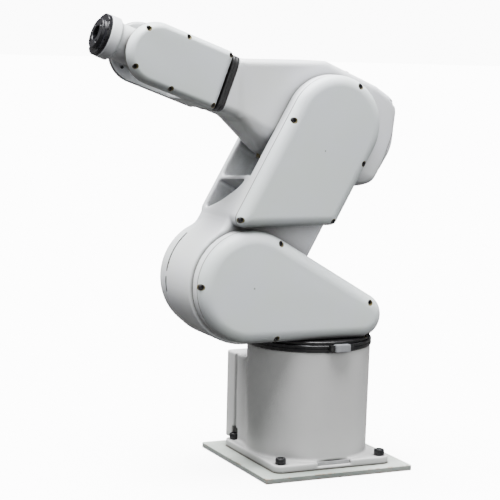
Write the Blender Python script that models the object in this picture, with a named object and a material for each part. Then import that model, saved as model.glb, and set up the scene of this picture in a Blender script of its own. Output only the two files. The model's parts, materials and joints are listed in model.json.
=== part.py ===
"""A small six-axis articulated robot arm on a square mounting plate.

World frame: metres, +Z up. The origin is on the turret's upright axis, on the underside of the
mounting plate. +X is the base's front and -X its connector side. The arm is posed as it stands at
rest, reaching toward -Y, with its belt covers toward +X.

Each moving link is drawn in its own frame, held by an empty on its joint's axis. In every link
frame +Y is the side that the belt covers are on. In the turret's frame +X is the reach direction,
in the lower arm's frame +Z runs from shoulder to elbow, and from the elbow on +X runs along the
forearm to the tool flange.
"""

import math

import bmesh
import bpy
from mathutils import Matrix, Vector

# Rest pose, degrees: the turret from the base's front, the lower arm from upright (back is
# negative), the forearm from the lower arm's own direction.
REST_TURRET = -90
REST_LOWER_ARM = -29
REST_ELBOW = 99
LOWER_ARM_BACK = -60  # how far back the lower arm can lean

# The arm's lengths, axis to axis.
SHOULDER_X = 0.120
SHOULDER_Z = 0.2565
LOWER_ARM = 0.243
FOREARM = 0.260

GAP = 0.0004  # between neighbouring pieces
BORE_GAP = 0.0003

# Base
PLATE_FRONT = 0.105
PLATE_BACK = -0.110
PLATE_SIDE = 0.110
PLATE_THICK = 0.0075
BOLT_AT = 0.075
BOLT_RADIUS = 0.0040
BOLT_HEAD_RADIUS = 0.0072
FLANGE_HALF = 0.087
FLANGE_CORNER = 0.012
FLANGE_THICK = 0.010
COLUMN_FOOT = 0.083
COLUMN_HEAD = 0.085
COLUMN_TOP = 0.1670
COLUMN_BORE = 0.070
RING_RADIUS = 0.0865
RING_TOP = 0.1763
HOUSING_BACK = -0.107
HOUSING_SIDE = 0.075
HOUSING_TOP = 0.1405

# Planes across the arm, measured along each link's +Y
COVER_FACE = 0.076
SHOULDER_SEAM = 0.0600
ELBOW_SEAM = 0.0617
LINK_NEAR = 0.0440
CHEEK_INSIDE = LINK_NEAR + 0.0025
FORK_NEAR = 0.0437
FORK_FAR = -0.0445
LINK_FAR = -0.0570
CAP_FAR = -0.078
ELBOW_HALF_WIDTH = 0.0430

# Shoulder and turret
WEDGE_RADIUS = 0.075
WEDGE_REAR = (-0.045, 0.2115)
WEDGE_REAR_RADIUS = 0.030
DRUM_RADIUS = 0.080
DRUM_FAR_RADIUS = 0.077
J2_MOTOR_AT = (-0.038, 0.2125)
TURRET_FAR = -0.058

# Lower arm
COVER_HALF_WIDTH = 0.066
COVER_FOOT = 0.079  # from the shoulder's axis to the long cover's straight lower edge
ELBOW_SWING = 0.1285
J3_MOTOR_AT = (0.036, 0.088)
J3_REDUCER_RADIUS = 0.0435

# Upper arm
ELBOW_FRONT = 0.148
ELBOW_REAR = -0.098
SEAL_FRONT = 0.158
ELBOW_WALL = 0.0065

# Wrist unit, from the wrist's bending axis
WRIST_BACK = SEAL_FRONT + 0.002 - FOREARM
WRIST_HALF_HEIGHT = 0.0405
WRIST_SEAM = 0.030
WRIST_FACE = 0.046
FORK_SLOT = 0.0265
FORK_FLOOR = -0.059
WRIST_MOTOR_X = -0.0795
WRIST_MOTOR_Z = 0.0195
NECK_RADIUS = 0.024
NECK_END = 0.0635
TOOL_FACE = 0.074

ARC_STEP = math.radians(15)
LARGE_ROUND, ROUND, SMALL_ROUND = 36, 20, 12  # sides of turned shapes


# Tools for making meshes


def clear_scene():
    for obj in list(bpy.data.objects):
        bpy.data.objects.remove(obj, do_unlink=True)


def make_material(name, colour, roughness, metallic=0.0):
    material = bpy.data.materials.new(name)
    material.use_nodes = True
    shader = material.node_tree.nodes["Principled BSDF"]
    shader.inputs["Base Color"].default_value = (*colour, 1)
    shader.inputs["Roughness"].default_value = roughness
    shader.inputs["Metallic"].default_value = metallic
    return material


def make_pivot(name, parent, location, rotation=(0, 0, 0)):
    pivot = bpy.data.objects.new(name, None)
    bpy.context.scene.collection.objects.link(pivot)
    pivot.parent = parent
    pivot.location = location
    pivot.rotation_euler = rotation
    return pivot


def make_object(name, mesh_data, parent, colour=None):
    """An object from a bmesh, which is freed."""
    bmesh.ops.recalc_face_normals(mesh_data, faces=mesh_data.faces)
    mesh = bpy.data.meshes.new(name)
    mesh_data.to_mesh(mesh)
    mesh_data.free()
    mesh.shade_smooth()
    mesh.set_sharp_from_angle(angle=math.radians(30))
    obj = bpy.data.objects.new(name, mesh)
    bpy.context.scene.collection.objects.link(obj)
    obj.parent = parent
    if colour is None:
        obj.hide_render = True
        obj.display_type = "WIRE"
    else:
        mesh.materials.append(make_material(name + "_finish", *colour))
    return obj


def combine(target, other, operation):
    modifier = target.modifiers.new(other.name, "BOOLEAN")
    modifier.object = other
    modifier.operation = operation
    modifier.solver = "EXACT"


def cut(target, *cutters):
    for cutter in cutters:
        combine(target, cutter, "DIFFERENCE")


def join(target, *others):
    for other in others:
        combine(target, other, "UNION")


def rounded(circles):
    """The outline round circles (x, z, radius) given anticlockwise, as a string round pegs."""
    normals = []
    for (x0, z0, r0), (x1, z1, r1) in zip(circles, circles[1:] + circles[:1]):
        along = math.atan2(z1 - z0, x1 - x0)
        lean = math.asin((r0 - r1) / math.hypot(x1 - x0, z1 - z0))
        normals.append(along - math.pi / 2 + lean)
    points = []
    for (x, z, radius), start, end in zip(circles, normals[-1:] + normals[:-1], normals):
        turn = (end - start) % (2 * math.pi)
        steps = max(2, math.ceil(turn / ARC_STEP))
        for step in range(steps + 1):
            angle = start + turn * step / steps
            points.append((x + radius * math.cos(angle), z + radius * math.sin(angle)))
    return points


def rounded_box(half_width, half_height, corner):
    x, z = half_width - corner, half_height - corner
    return rounded([(x, -z, corner), (x, z, corner), (-x, z, corner), (-x, -z, corner)])


def across(outline, y):
    """An outline in x and z, standing at y."""
    return [Vector((x, y, z)) for x, z in outline]


def level(outline, z):
    return [Vector((x, y, z)) for x, y in outline]


def along(outline, x):
    """An outline in y and z, standing at x."""
    return [Vector((x, y, z)) for y, z in outline]


def skin(rings, closed=False):
    """A bmesh through rings of equally many points, capped at both ends or closed on itself."""
    made = bmesh.new()
    rows = [[made.verts.new(point) for point in ring] for ring in rings]
    pairs = list(zip(rows, rows[1:]))
    if closed:
        pairs.append((rows[-1], rows[0]))
    else:
        made.faces.new(rows[0])
        made.faces.new(rows[-1])
    for row, following in pairs:
        for i in range(len(row)):
            j = (i + 1) % len(row)
            made.faces.new((row[i], row[j], following[j], following[i]))
    return made


def turned(profile, axis, centre=(0, 0, 0), segments=ROUND):
    """A lathe shape. profile runs round the section as (radius, height); both ends on the axis
    close it there, and otherwise it closes on itself as a ring."""
    made = bmesh.new()
    verts = [made.verts.new((radius, 0, height)) for radius, height in profile]
    edges = [made.edges.new(pair) for pair in zip(verts, verts[1:])]
    if profile[0][0] > 0:
        edges.append(made.edges.new((verts[-1], verts[0])))
    bmesh.ops.spin(
        made, geom=verts + edges, cent=(0, 0, 0), axis=(0, 0, 1),
        angle=2 * math.pi, steps=segments, use_merge=True, use_normal_flip=False,
    )
    bmesh.ops.remove_doubles(made, verts=made.verts, dist=1e-6)
    turn = {
        "X": Matrix.Rotation(math.pi / 2, 4, "Y"),
        "Y": Matrix.Rotation(-math.pi / 2, 4, "X"),
        "Z": Matrix.Identity(4),
    }[axis]
    made.transform(Matrix.Translation(centre) @ turn)
    return made


def rod(radius, low, high, axis, centre=(0, 0, 0), segments=ROUND):
    """A cylinder from low to high along its axis, which passes through centre."""
    profile = [(0, low), (radius, low), (radius, high), (0, high)]
    return turned(profile, axis, centre, segments)


def tube(radius, bore, low, high, axis, centre=(0, 0, 0), segments=ROUND):
    profile = [(bore, low), (radius, low), (radius, high), (bore, high)]
    return turned(profile, axis, centre, segments)


def block(low, high):
    (x0, y0, z0), (x1, y1, z1) = low, high
    corners = [(x0, y0), (x1, y0), (x1, y1), (x0, y1)]
    return skin([level(corners, z0), level(corners, z1)])


def belt_loop(circles, thick, low, high):
    """A flat belt round pulleys (x, z, radius), clear of them by the usual gap."""
    inner = [(x, z, radius + BORE_GAP) for x, z, radius in circles]
    outer = [(x, z, radius + thick) for x, z, radius in inner]
    rings = [
        across(rounded(inner), low),
        across(rounded(outer), low),
        across(rounded(outer), high),
        across(rounded(inner), high),
    ]
    return skin(rings, closed=True)


def cover_shell(outline, seam, face, wall, rim):
    """A hollow cover, open at its seam. outline(inset) draws it, and rim is how far in from the
    seam's outline the flat face starts, across a quarter-round shoulder."""
    depth = face - seam
    steps = 3
    outer = [across(outline(0), seam)]
    inner = [across(outline(wall), seam)]
    for step in range(1, steps + 1):
        swing = math.pi / 2 * step / steps
        inset = rim * (1 - math.cos(swing))
        rise = math.sin(swing)
        outer.append(across(outline(inset), seam + depth * rise))
        side = math.copysign(wall, depth)
        inner.append(across(outline(inset + wall), seam + (depth - side) * rise))
    return skin(inner[::-1] + outer)


# Colours: (base colour), roughness, metallic

PAINT = ((0.80, 0.81, 0.80), 0.38)
COVER = ((0.74, 0.77, 0.78), 0.42)
CASTING_GREY = ((0.60, 0.60, 0.60), 0.55)
PLATE_WHITE = ((0.78, 0.80, 0.76), 0.50)
BLACK_STEEL = ((0.02, 0.02, 0.022), 0.35, 0.7)
BLACK_RUBBER = ((0.012, 0.012, 0.014), 0.7)
STEEL = ((0.55, 0.55, 0.56), 0.3, 1.0)
MOTOR = ((0.05, 0.05, 0.055), 0.5, 0.2)
BRASS = ((0.62, 0.42, 0.16), 0.3, 1.0)
ALUMINIUM = ((0.62, 0.63, 0.65), 0.4, 1.0)


# Base


def bolt_places():
    return [(x, y) for x in (-BOLT_AT, BOLT_AT) for y in (-BOLT_AT, BOLT_AT)]


def make_mounting_plate():
    low = (PLATE_BACK, -PLATE_SIDE, 0)
    high = (PLATE_FRONT, PLATE_SIDE, PLATE_THICK)
    plate = make_object("mounting_plate", block(low, high), None, PLATE_WHITE)
    for number, (x, y) in enumerate(bolt_places()):
        hole = rod(BOLT_RADIUS + BORE_GAP, -0.01, 0.02, "Z", (x, y, 0), SMALL_ROUND)
        cut(plate, make_object(f"plate_hole_{number}", hole, None))


def make_base_casting():
    foot = PLATE_THICK + BORE_GAP
    flange_top = foot + FLANGE_THICK
    outline = rounded_box(FLANGE_HALF, FLANGE_HALF, FLANGE_CORNER)
    flange = skin([level(outline, foot), level(outline, flange_top)])
    casting = make_object("base_casting", flange, None, CASTING_GREY)
    profile = [
        (0, foot + 0.002),
        (COLUMN_FOOT, foot + 0.002),
        (COLUMN_HEAD, COLUMN_TOP),
        (0, COLUMN_TOP),
    ]
    column = make_object("column", turned(profile, "Z", segments=LARGE_ROUND), None)
    low = (HOUSING_BACK, -HOUSING_SIDE, flange_top - 0.002)
    high = (-0.030, HOUSING_SIDE, HOUSING_TOP)
    housing = make_object("connector_housing", block(low, high), None)
    join(casting, column, housing)

    bore = rod(COLUMN_BORE, 0.030, 0.2, "Z")
    low = (HOUSING_BACK - 0.01, -0.066, 0.030)
    room = make_object("housing_room", block(low, (-0.050, 0.066, 0.131)), None)
    low = (FLANGE_HALF - 0.006, -0.025, flange_top - 0.005)
    notch = make_object("flange_notch", block(low, (0.1, 0.025, 0.03)), None)
    cut(casting, make_object("column_bore", bore, None), room, notch)
    for number, (x, y) in enumerate(bolt_places()):
        hole = rod(BOLT_RADIUS + BORE_GAP, 0, 0.05, "Z", (x, y, 0), SMALL_ROUND)
        room = rod(BOLT_HEAD_RADIUS + 0.0015, flange_top + 0.0002, 0.032, "Z", (x, y, 0))
        cut(casting, make_object(f"flange_hole_{number}", hole, None))
        cut(casting, make_object(f"bolt_room_{number}", room, None))


def make_base_bolts():
    seat = PLATE_THICK + BORE_GAP + FLANGE_THICK + GAP
    head = seat + 0.008
    profile = [
        (0, 0.001),
        (BOLT_RADIUS, 0.001),
        (BOLT_RADIUS, seat),
        (BOLT_HEAD_RADIUS, seat),
        (BOLT_HEAD_RADIUS, head - 0.0008),
        (BOLT_HEAD_RADIUS - 0.0008, head),
        (0.0035, head),
        (0.0035, head - 0.004),
        (0, head - 0.004),
    ]
    for number, (x, y) in enumerate(bolt_places(), 1):
        bolt = turned(profile, "Z", (x, y, 0), SMALL_ROUND)
        make_object(f"base_bolt_{number}", bolt, None, BLACK_STEEL)


def make_connector_panel():
    """The plate in the housing's open back, with two round connectors and two air inlets."""
    x = HOUSING_BACK + 0.001
    panel = block((x, -0.0655, 0.0305), (x + 0.003, 0.0655, 0.1305))
    panel = make_object("connector_panel", panel, None, ALUMINIUM)
    pieces = [
        ("power_connector", -0.034, 0.095, 0.018, MOTOR),
        ("signal_connector", 0.018, 0.095, 0.015, MOTOR),
        ("air_inlet_1", -0.030, 0.052, 0.006, BRASS),
        ("air_inlet_2", 0.000, 0.052, 0.006, BRASS),
    ]
    for name, y, z, radius, colour in pieces:
        barrel = radius * 0.8
        profile = [
            (0, 0.012),
            (barrel, 0.012),
            (barrel, -0.0034),
            (radius, -0.0034),
            (radius, -0.0060),
            (barrel, -0.0060),
            (barrel, -0.0140),
            (barrel * 0.75, -0.0140),
            (barrel * 0.75, -0.0050),
            (0, -0.0050),
        ]
        centre = (x, y, z)
        make_object(name, turned(profile, "X", centre, SMALL_ROUND), None, colour)
        hole = rod(barrel + BORE_GAP, -0.02, 0.02, "X", centre, SMALL_ROUND)
        cut(panel, make_object(name + "_hole", hole, None))


def make_turret_drive():
    fit = COLUMN_BORE - 0.001
    profile = [
        (0, 0.034),
        (0.031, 0.034),
        (0.031, 0.121),
        (fit, 0.121),
        (fit, 0.129),
        (0.008, 0.129),
        (0.008, 0.150),
        (0, 0.150),
    ]
    make_object("j1_motor", turned(profile, "Z"), None, MOTOR)
    make_object("j1_reducer", tube(fit, 0.020, 0.1295, 0.158, "Z"), None, STEEL)
    low = COLUMN_TOP + BORE_GAP
    ring = tube(RING_RADIUS, 0.056, low, RING_TOP, "Z", segments=LARGE_ROUND)
    make_object("turret_bearing", ring, None, BLACK_STEEL)
    x = RING_RADIUS + GAP
    stop = block((x, -0.007, 0.1685), (x + 0.009, 0.015, 0.1780))
    make_object("turret_stop", stop, None, ALUMINIUM)


# Turret


def wedge_outline(inset):
    """The shoulder cover's outline: a large round at the shoulder and a small one behind."""
    return rounded([
        (SHOULDER_X, SHOULDER_Z, WEDGE_RADIUS - inset),
        (*WEDGE_REAR, WEDGE_REAR_RADIUS - inset),
    ])


def leaning_link():
    """The room, beside the drum, that the lower arm fills when it leans right back."""
    angle = math.radians(LOWER_ARM_BACK)
    axis = Vector((math.sin(angle), math.cos(angle)))
    rear = Vector((-math.cos(angle), math.sin(angle)))
    shoulder = Vector((SHOULDER_X, SHOULDER_Z))
    ends = [(0, 0.079), (0, -0.2), (0.4, -0.2), (0.4, 0.079)]
    return [shoulder + axis * a + rear * r for a, r in ends]


def make_turret(pivot):
    inside = wedge_outline(0.004)
    body = skin([across(inside, TURRET_FAR), across(inside, CHEEK_INSIDE + 0.0015)])
    casting = make_object("turret_casting", body, pivot, PAINT)
    foot_low = RING_TOP + GAP
    profile = [
        (0, foot_low), (0.081, foot_low), (0.081, 0.1805),
        (0.058, 0.1805), (0.058, 0.200), (0, 0.200),
    ]
    foot = make_object("turret_foot", turned(profile, "Z", segments=LARGE_ROUND), pivot)
    spigot = rod(0.0555, 0.160, foot_low + 0.002, "Z")
    join(casting, foot, make_object("turret_spigot", spigot, pivot))

    shoulder = (SHOULDER_X, 0, SHOULDER_Z)
    room_near = CHEEK_INSIDE - 0.0015
    swing = rod(DRUM_RADIUS + 0.0025, -0.2, room_near, "Y", shoulder, LARGE_ROUND)
    lean = skin([across(leaning_link(), -0.1), across(leaning_link(), room_near)])
    cut(casting, make_object("drum_swing", swing, pivot), make_object("link_swing", lean, pivot))
    cheek = wedge_outline(0)
    cheek = skin([across(cheek, CHEEK_INSIDE - 0.002), across(cheek, SHOULDER_SEAM)])
    join(casting, make_object("turret_cheek", cheek, pivot))
    make_turret_holes(casting, pivot)

    cover = cover_shell(wedge_outline, SHOULDER_SEAM + GAP, COVER_FACE, 0.0025, 0.018)
    make_object("shoulder_cover", cover, pivot, COVER)


def make_turret_holes(casting, pivot):
    motor_x, motor_z = J2_MOTOR_AT
    for name, cutter in (
        ("j2_motor_room", rod(0.0215 + BORE_GAP, -0.1, 0.0455, "Y", (motor_x, 0, motor_z))),
        ("j2_shaft_hole", rod(0.0115, -0.1, 0.1, "Y", (motor_x, 0, motor_z))),
        ("j2_hub_hole", rod(0.0155, -0.1, 0.1, "Y", (SHOULDER_X, 0, SHOULDER_Z))),
        ("turret_hollow", rod(0.012, 0.1, 0.3, "Z")),
    ):
        cut(casting, make_object(name, cutter, pivot))


def make_belt(name, pivot, pulleys, low, high):
    """A belt round pulleys (x, z, radius), between the planes low and high."""
    thick = 0.0016
    belt = belt_loop(pulleys, thick, low + 0.0008, high - 0.0008)
    make_object(name, belt, pivot, BLACK_RUBBER)


def make_shoulder_drive(pivot):
    motor_x, motor_z = J2_MOTOR_AT
    low, high = SHOULDER_SEAM + 0.0025, COVER_FACE - 0.0045
    profile = [
        (0, -0.066),
        (0.0215, -0.066),
        (0.0215, 0.0440),
        (0.0055, 0.0440),
        (0.0055, low - GAP),
        (0, low - GAP),
    ]
    make_object("j2_motor", turned(profile, "Y", (motor_x, 0, motor_z)), pivot, MOTOR)
    centre = (SHOULDER_X, 0, SHOULDER_Z)
    wheel = rod(0.0105, low, high, "Y", (motor_x, 0, motor_z))
    make_object("j2_motor_pulley", wheel, pivot, ALUMINIUM)
    pulleys = [(motor_x, motor_z, 0.0105), (SHOULDER_X, SHOULDER_Z, 0.024)]
    make_belt("j2_belt", pivot, pulleys, low, high)
    profile = [(0, 0.030), (0.010, 0.030), (0.010, low), (0.024, low), (0.024, high), (0, high)]
    make_object("j2_input_pulley", turned(profile, "Y", centre), pivot, ALUMINIUM)
    reducer = tube(0.046, 0.0115, -0.004, CHEEK_INSIDE - 0.0024, "Y", centre)
    make_object("j2_reducer", reducer, pivot, STEEL)


# Lower arm


def lower_cover_outline(inset):
    """A round head at the elbow and a straight foot, which lies level at rest."""
    side = COVER_HALF_WIDTH - inset
    foot = COVER_FOOT + inset
    corner = max(0.012 - inset, 0.004)
    lean = math.radians(REST_LOWER_ARM)
    up_x, up_z = -math.sin(lean), math.cos(lean)
    corners = []
    for x in (-(side - corner), side - corner):
        corners.append((x, (foot + corner - up_x * x) / up_z, corner))
    return rounded([corners[0], corners[1], (0, LOWER_ARM, side)])


def make_lower_arm(pivot):
    body = rounded([(0, 0, 0.0652), (0, LOWER_ARM, 0.0646)])
    web = skin([across(body, LINK_FAR + 0.0006), across(body, LINK_NEAR)])
    casting = make_object("lower_arm_casting", web, pivot, PAINT)
    elbow = (0, 0, LOWER_ARM)
    swing = rod(ELBOW_SWING, FORK_FAR, LINK_NEAR + 0.01, "Y", elbow, LARGE_ROUND)
    cut(casting, make_object("elbow_swing", swing, pivot))
    drum = turned(
        [
            (0, LINK_FAR), (DRUM_FAR_RADIUS, LINK_FAR), (DRUM_FAR_RADIUS, -0.0362),
            (DRUM_RADIUS - 0.004, -0.0362), (DRUM_RADIUS - 0.004, -0.0346),
            (DRUM_RADIUS, -0.0346), (DRUM_RADIUS, LINK_NEAR), (0, LINK_NEAR),
        ],
        "Y", segments=LARGE_ROUND,
    )
    pad = lower_cover_outline(0)
    pad = skin([across(pad, FORK_NEAR), across(pad, ELBOW_SEAM)])
    join(casting, make_object("shoulder_drum", drum, pivot), make_object("cover_pad", pad, pivot))
    make_pockets(casting, pivot)

    inside = [
        (0, -0.1), (0.0655, -0.1), (0.0655, -0.0155), (0.020, -0.0155),
        (0.020, -0.0080), (0.0475, -0.0080), (0.0475, 0.1), (0, 0.1),
    ]
    inside = turned(inside, "Y", segments=LARGE_ROUND)
    motor_centre = (J3_MOTOR_AT[0], 0, J3_MOTOR_AT[1])
    motor = rod(0.0155 + BORE_GAP, 0.009, FORK_NEAR + 0.004, "Y", motor_centre)
    shaft = rod(0.0095, 0.02, 0.1, "Y", motor_centre, SMALL_ROUND)
    hub = rod(0.0155, FORK_NEAR - 0.01, 0.1, "Y", elbow)
    pin = rod(0.0125, -0.1, FORK_FAR + 0.01, "Y", elbow)
    for name, cutter in (
        ("j3_motor_room", motor), ("j3_shaft_hole", shaft), ("j3_hub_hole", hub),
        ("elbow_pin_hole", pin), ("drum_inside", inside),
    ):
        cut(casting, make_object(name, cutter, pivot))

    cover = cover_shell(lower_cover_outline, ELBOW_SEAM + GAP, COVER_FACE, 0.0025, 0.014)
    make_object("lower_arm_cover", cover, pivot, COVER)
    low = LINK_FAR - GAP
    profile = [
        (0, CAP_FAR), (0.063, CAP_FAR), (0.072, -0.0740), (0.0765, -0.065),
        (0.0765, low), (0.073, low), (0.070, -0.071), (0, -0.0745),
    ]
    make_object("shoulder_cap", turned(profile, "Y", segments=LARGE_ROUND), pivot, PAINT)


def make_pockets(casting, pivot):
    """Two pockets open to the front, either side of a thin cross rib. Both run from the far side
    plate to the near wall, and the lower one's floor slopes up toward the near side."""
    far, near = FORK_FAR, 0.031
    front, back = 0.090, -0.046
    upper = [(far, 0.1225), (near, 0.1300), (near, 0.170), (far, 0.170)]
    lower = [(far, 0.0725), (near, 0.1180), (near, 0.1240), (far, 0.1165)]
    for name, section in (("upper_pocket", upper), ("lower_pocket", lower)):
        cutter = skin([along(section, back), along(section, front)])
        cut(casting, make_object(name, cutter, pivot))


def make_elbow_drive(pivot):
    low, high = ELBOW_SEAM + 0.0015, COVER_FACE - 0.0070
    motor_x, motor_z = J3_MOTOR_AT
    profile = [
        (0, 0.010),
        (0.0155, 0.010),
        (0.0155, FORK_NEAR + 0.003),
        (0.0050, FORK_NEAR + 0.003),
        (0.0050, low - GAP),
        (0, low - GAP),
    ]
    make_object("j3_motor", turned(profile, "Y", (motor_x, 0, motor_z)), pivot, MOTOR)
    wheel = rod(0.0085, low, high, "Y", (motor_x, 0, motor_z))
    make_object("j3_motor_pulley", wheel, pivot, ALUMINIUM)
    pulleys = [(0, LOWER_ARM, 0.022), (motor_x, motor_z, 0.0085)]
    make_belt("j3_belt", pivot, pulleys, low, high)
    centre = (0, 0, LOWER_ARM)
    profile = [(0, 0.030), (0.010, 0.030), (0.010, low), (0.022, low), (0.022, high), (0, high)]
    make_object("j3_input_pulley", turned(profile, "Y", centre), pivot, ALUMINIUM)
    reducer = tube(J3_REDUCER_RADIUS, 0.0115, 0.0255, FORK_NEAR - BORE_GAP, "Y", centre)
    make_object("j3_reducer", reducer, pivot, STEEL)
    profile = [(0, LINK_FAR), (0.012, LINK_FAR), (0.012, -0.026), (0, -0.026)]
    make_object("elbow_bearing", turned(profile, "Y", centre), pivot, STEEL)


# Upper arm


def elbow_outline(inset):
    """The elbow's side view, tapering forward and rounded at the rear."""
    return rounded([
        (0.119, -0.0325, 0.005 - inset * 0.5),
        (ELBOW_FRONT - 0.005, 0.0320, 0.005 - inset * 0.5),
        (0.030, 0.0655, 0.012 - inset),
        (-0.050, 0.0535, 0.020 - inset),
        (-0.069, 0.0420, 0.027 - inset),
        (-0.045, 0.0020, 0.060 - inset),
        (-0.070, -0.0360, 0.028 - inset),
        (-0.050, -0.0520, 0.020 - inset),
        (0.030, -0.0650, 0.012 - inset),
        (0.066, -0.0545, 0.012 - inset),
    ])


def lower_bevel(side):
    """What the wide bevel along one lower edge takes off. Its upper edge rises toward the front."""
    rings = []
    for x, crease in ((-0.20, -0.0573), (0.074, -0.0421), (0.20, -0.0270)):
        foot = crease - 0.060
        section = [(side * 0.058, crease + 0.015), (side * -0.017, foot), (side * 0.058, foot)]
        rings.append(along(section, x))
    return skin(rings)


def make_upper_arm(pivot):
    side = ELBOW_HALF_WIDTH
    body = skin([
        across(elbow_outline(0.0060), -side),
        across(elbow_outline(0.0018), -side + 0.0018),
        across(elbow_outline(0), -side + 0.0060),
        across(elbow_outline(0), side - 0.0060),
        across(elbow_outline(0.0018), side - 0.0018),
        across(elbow_outline(0.0060), side),
    ])
    casting = make_object("elbow_casting", body, pivot, PAINT)
    front = block((0.090, -side + 0.0020, -0.037), (ELBOW_FRONT, side - 0.0020, 0.037))
    join(casting, make_object("forearm_front", front, pivot))
    for name, way in (("near_bevel", 1), ("far_bevel", -1)):
        cut(casting, make_object(name, lower_bevel(way), pivot))
    behind = make_object("rear_parting", block((-0.2, -0.1, -0.1), (ELBOW_REAR, 0.1, 0.1)), pivot)
    half = side - ELBOW_WALL
    hollow = skin([across(rear_room(), -half), across(rear_room(), half)])
    cut(casting, behind, make_object("rear_room", hollow, pivot))
    seat = rod(J3_REDUCER_RADIUS + 0.0008, 0.0250, 0.1, "Y")
    hub = rod(0.0110, 0.0, 0.1, "Y", segments=SMALL_ROUND)
    pin = rod(0.012 + BORE_GAP, -0.1, -0.0255, "Y")
    room = rod(0.0215 + BORE_GAP, -0.2, 0.022, "X")
    passage = rod(0.0095, 0.0, 0.3, "X", segments=SMALL_ROUND)
    for name, cutter in (
        ("j3_reducer_seat", seat), ("j3_shaft_room", hub), ("elbow_pin_seat", pin),
        ("j4_motor_room", room), ("drive_shaft_passage", passage),
    ):
        cut(casting, make_object(name, cutter, pivot))
    make_elbow_rear_cover(pivot)
    make_forearm_seal(pivot)
    for number, (x, z) in enumerate(((-0.022, 0.0768), (-0.046, 0.0750)), 1):
        profile = [(0, z), (0.0042, z), (0.0042, z + 0.003), (0.0030, z + 0.004), (0, z + 0.004)]
        fitting = turned(profile, "Z", (x, 0, 0), SMALL_ROUND)
        make_object(f"air_fitting_{number}", fitting, pivot, BRASS)


def rear_room():
    """The room round the roll motor, open at the rear."""
    return [
        (-0.047, -0.0410), (-0.047, 0.0660), (-0.060, 0.0625), (-0.078, 0.0560),
        (-0.090, 0.0440), (-0.092, 0.0330), (-0.2, 0.0330), (-0.2, -0.0300),
        (-0.094, -0.0300), (-0.091, -0.0400), (-0.085, -0.0410),
    ]


def make_elbow_rear_cover(pivot):
    """A shallow lid that carries on the casting's rounded rear."""
    outer, inner = [], []
    for half_width, high, low, depth in (
        (0.0395, 0.0375, -0.0365, 0), (0.0370, 0.0335, -0.0330, 0.0020),
        (0.0330, 0.0270, -0.0270, 0.0045), (0.0270, 0.0180, -0.0180, 0.0064),
    ):
        x = ELBOW_REAR - GAP - depth
        middle = (high + low) / 2
        ring = [(y, z + middle) for y, z in rounded_box(half_width, high - middle, 0.010)]
        outer.append(along(ring, x))
        shrink = rounded_box(half_width - 0.003, high - middle - 0.003, 0.008)
        inner.append(along([(y, z + middle) for y, z in shrink], x + min(0.0022, depth)))
    make_object("elbow_rear_cover", skin(inner[::-1] + outer), pivot, PAINT)


def make_forearm_seal(pivot):
    outline = rounded_box(0.0445, 0.0385, 0.006)
    body = skin([along(outline, ELBOW_FRONT + GAP), along(outline, SEAL_FRONT)])
    seal = make_object("forearm_seal", body, pivot, BLACK_RUBBER)
    hole = rod(0.0095, 0.1, 0.2, "X")
    cut(seal, make_object("seal_hole", hole, pivot))


def make_forearm_drive(pivot, unit_pivot):
    """The roll motor and its reducer, and the hollow shaft that turns the wrist unit."""
    motor = rod(0.0215, -0.0980, -0.0300, "X")
    make_object("j4_motor", motor, pivot, MOTOR)
    reducer = tube(0.0215, 0.0085, -0.0296, 0.0215, "X")
    make_object("j4_reducer", reducer, pivot, STEEL)
    shaft = tube(0.0080, 0.0050, -0.0290 - FOREARM, WRIST_BACK - GAP, "X", segments=SMALL_ROUND)
    make_object("j4_drive_shaft", shaft, unit_pivot, STEEL)


# Wrist unit


def wrist_outline(inset):
    back = WRIST_BACK + inset
    half = WRIST_HALF_HEIGHT - inset
    corner = max(0.006 - inset, 0.003)
    return rounded([
        (back + corner, half - corner, corner),
        (back + corner, corner - half, corner),
        (0, 0, half),
    ])


def make_wrist_unit(pivot):
    outline = wrist_outline(0.0006)
    body = skin([across(outline, -WRIST_SEAM), across(outline, WRIST_SEAM)])
    housing = make_object("wrist_housing", body, pivot, PAINT)
    low = (FORK_FLOOR, -FORK_SLOT, -0.1)
    slot = make_object("fork_slot", block(low, (0.1, FORK_SLOT, 0.1)), pivot)
    cut(housing, slot)
    for name, z, low, high in (
        ("j5", WRIST_MOTOR_Z, -0.027, 0.1),
        ("j6", -WRIST_MOTOR_Z, -0.1, 0.027),
    ):
        room = rod(0.0170 + BORE_GAP, low, high, "Y", (WRIST_MOTOR_X, 0, z))
        cut(housing, make_object(name + "_motor_room", room, pivot))
    axle = rod(0.0090, -0.1, 0.1, "Y")
    cut(housing, make_object("wrist_axle_holes", axle, pivot))
    seam = WRIST_SEAM + BORE_GAP
    near = cover_shell(wrist_outline, seam, WRIST_FACE, 0.0020, 0.009)
    far = cover_shell(wrist_outline, -seam, -WRIST_FACE, 0.0020, 0.009)
    make_object("wrist_cover_near", near, pivot, COVER)
    make_object("wrist_cover_far", far, pivot, COVER)


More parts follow.
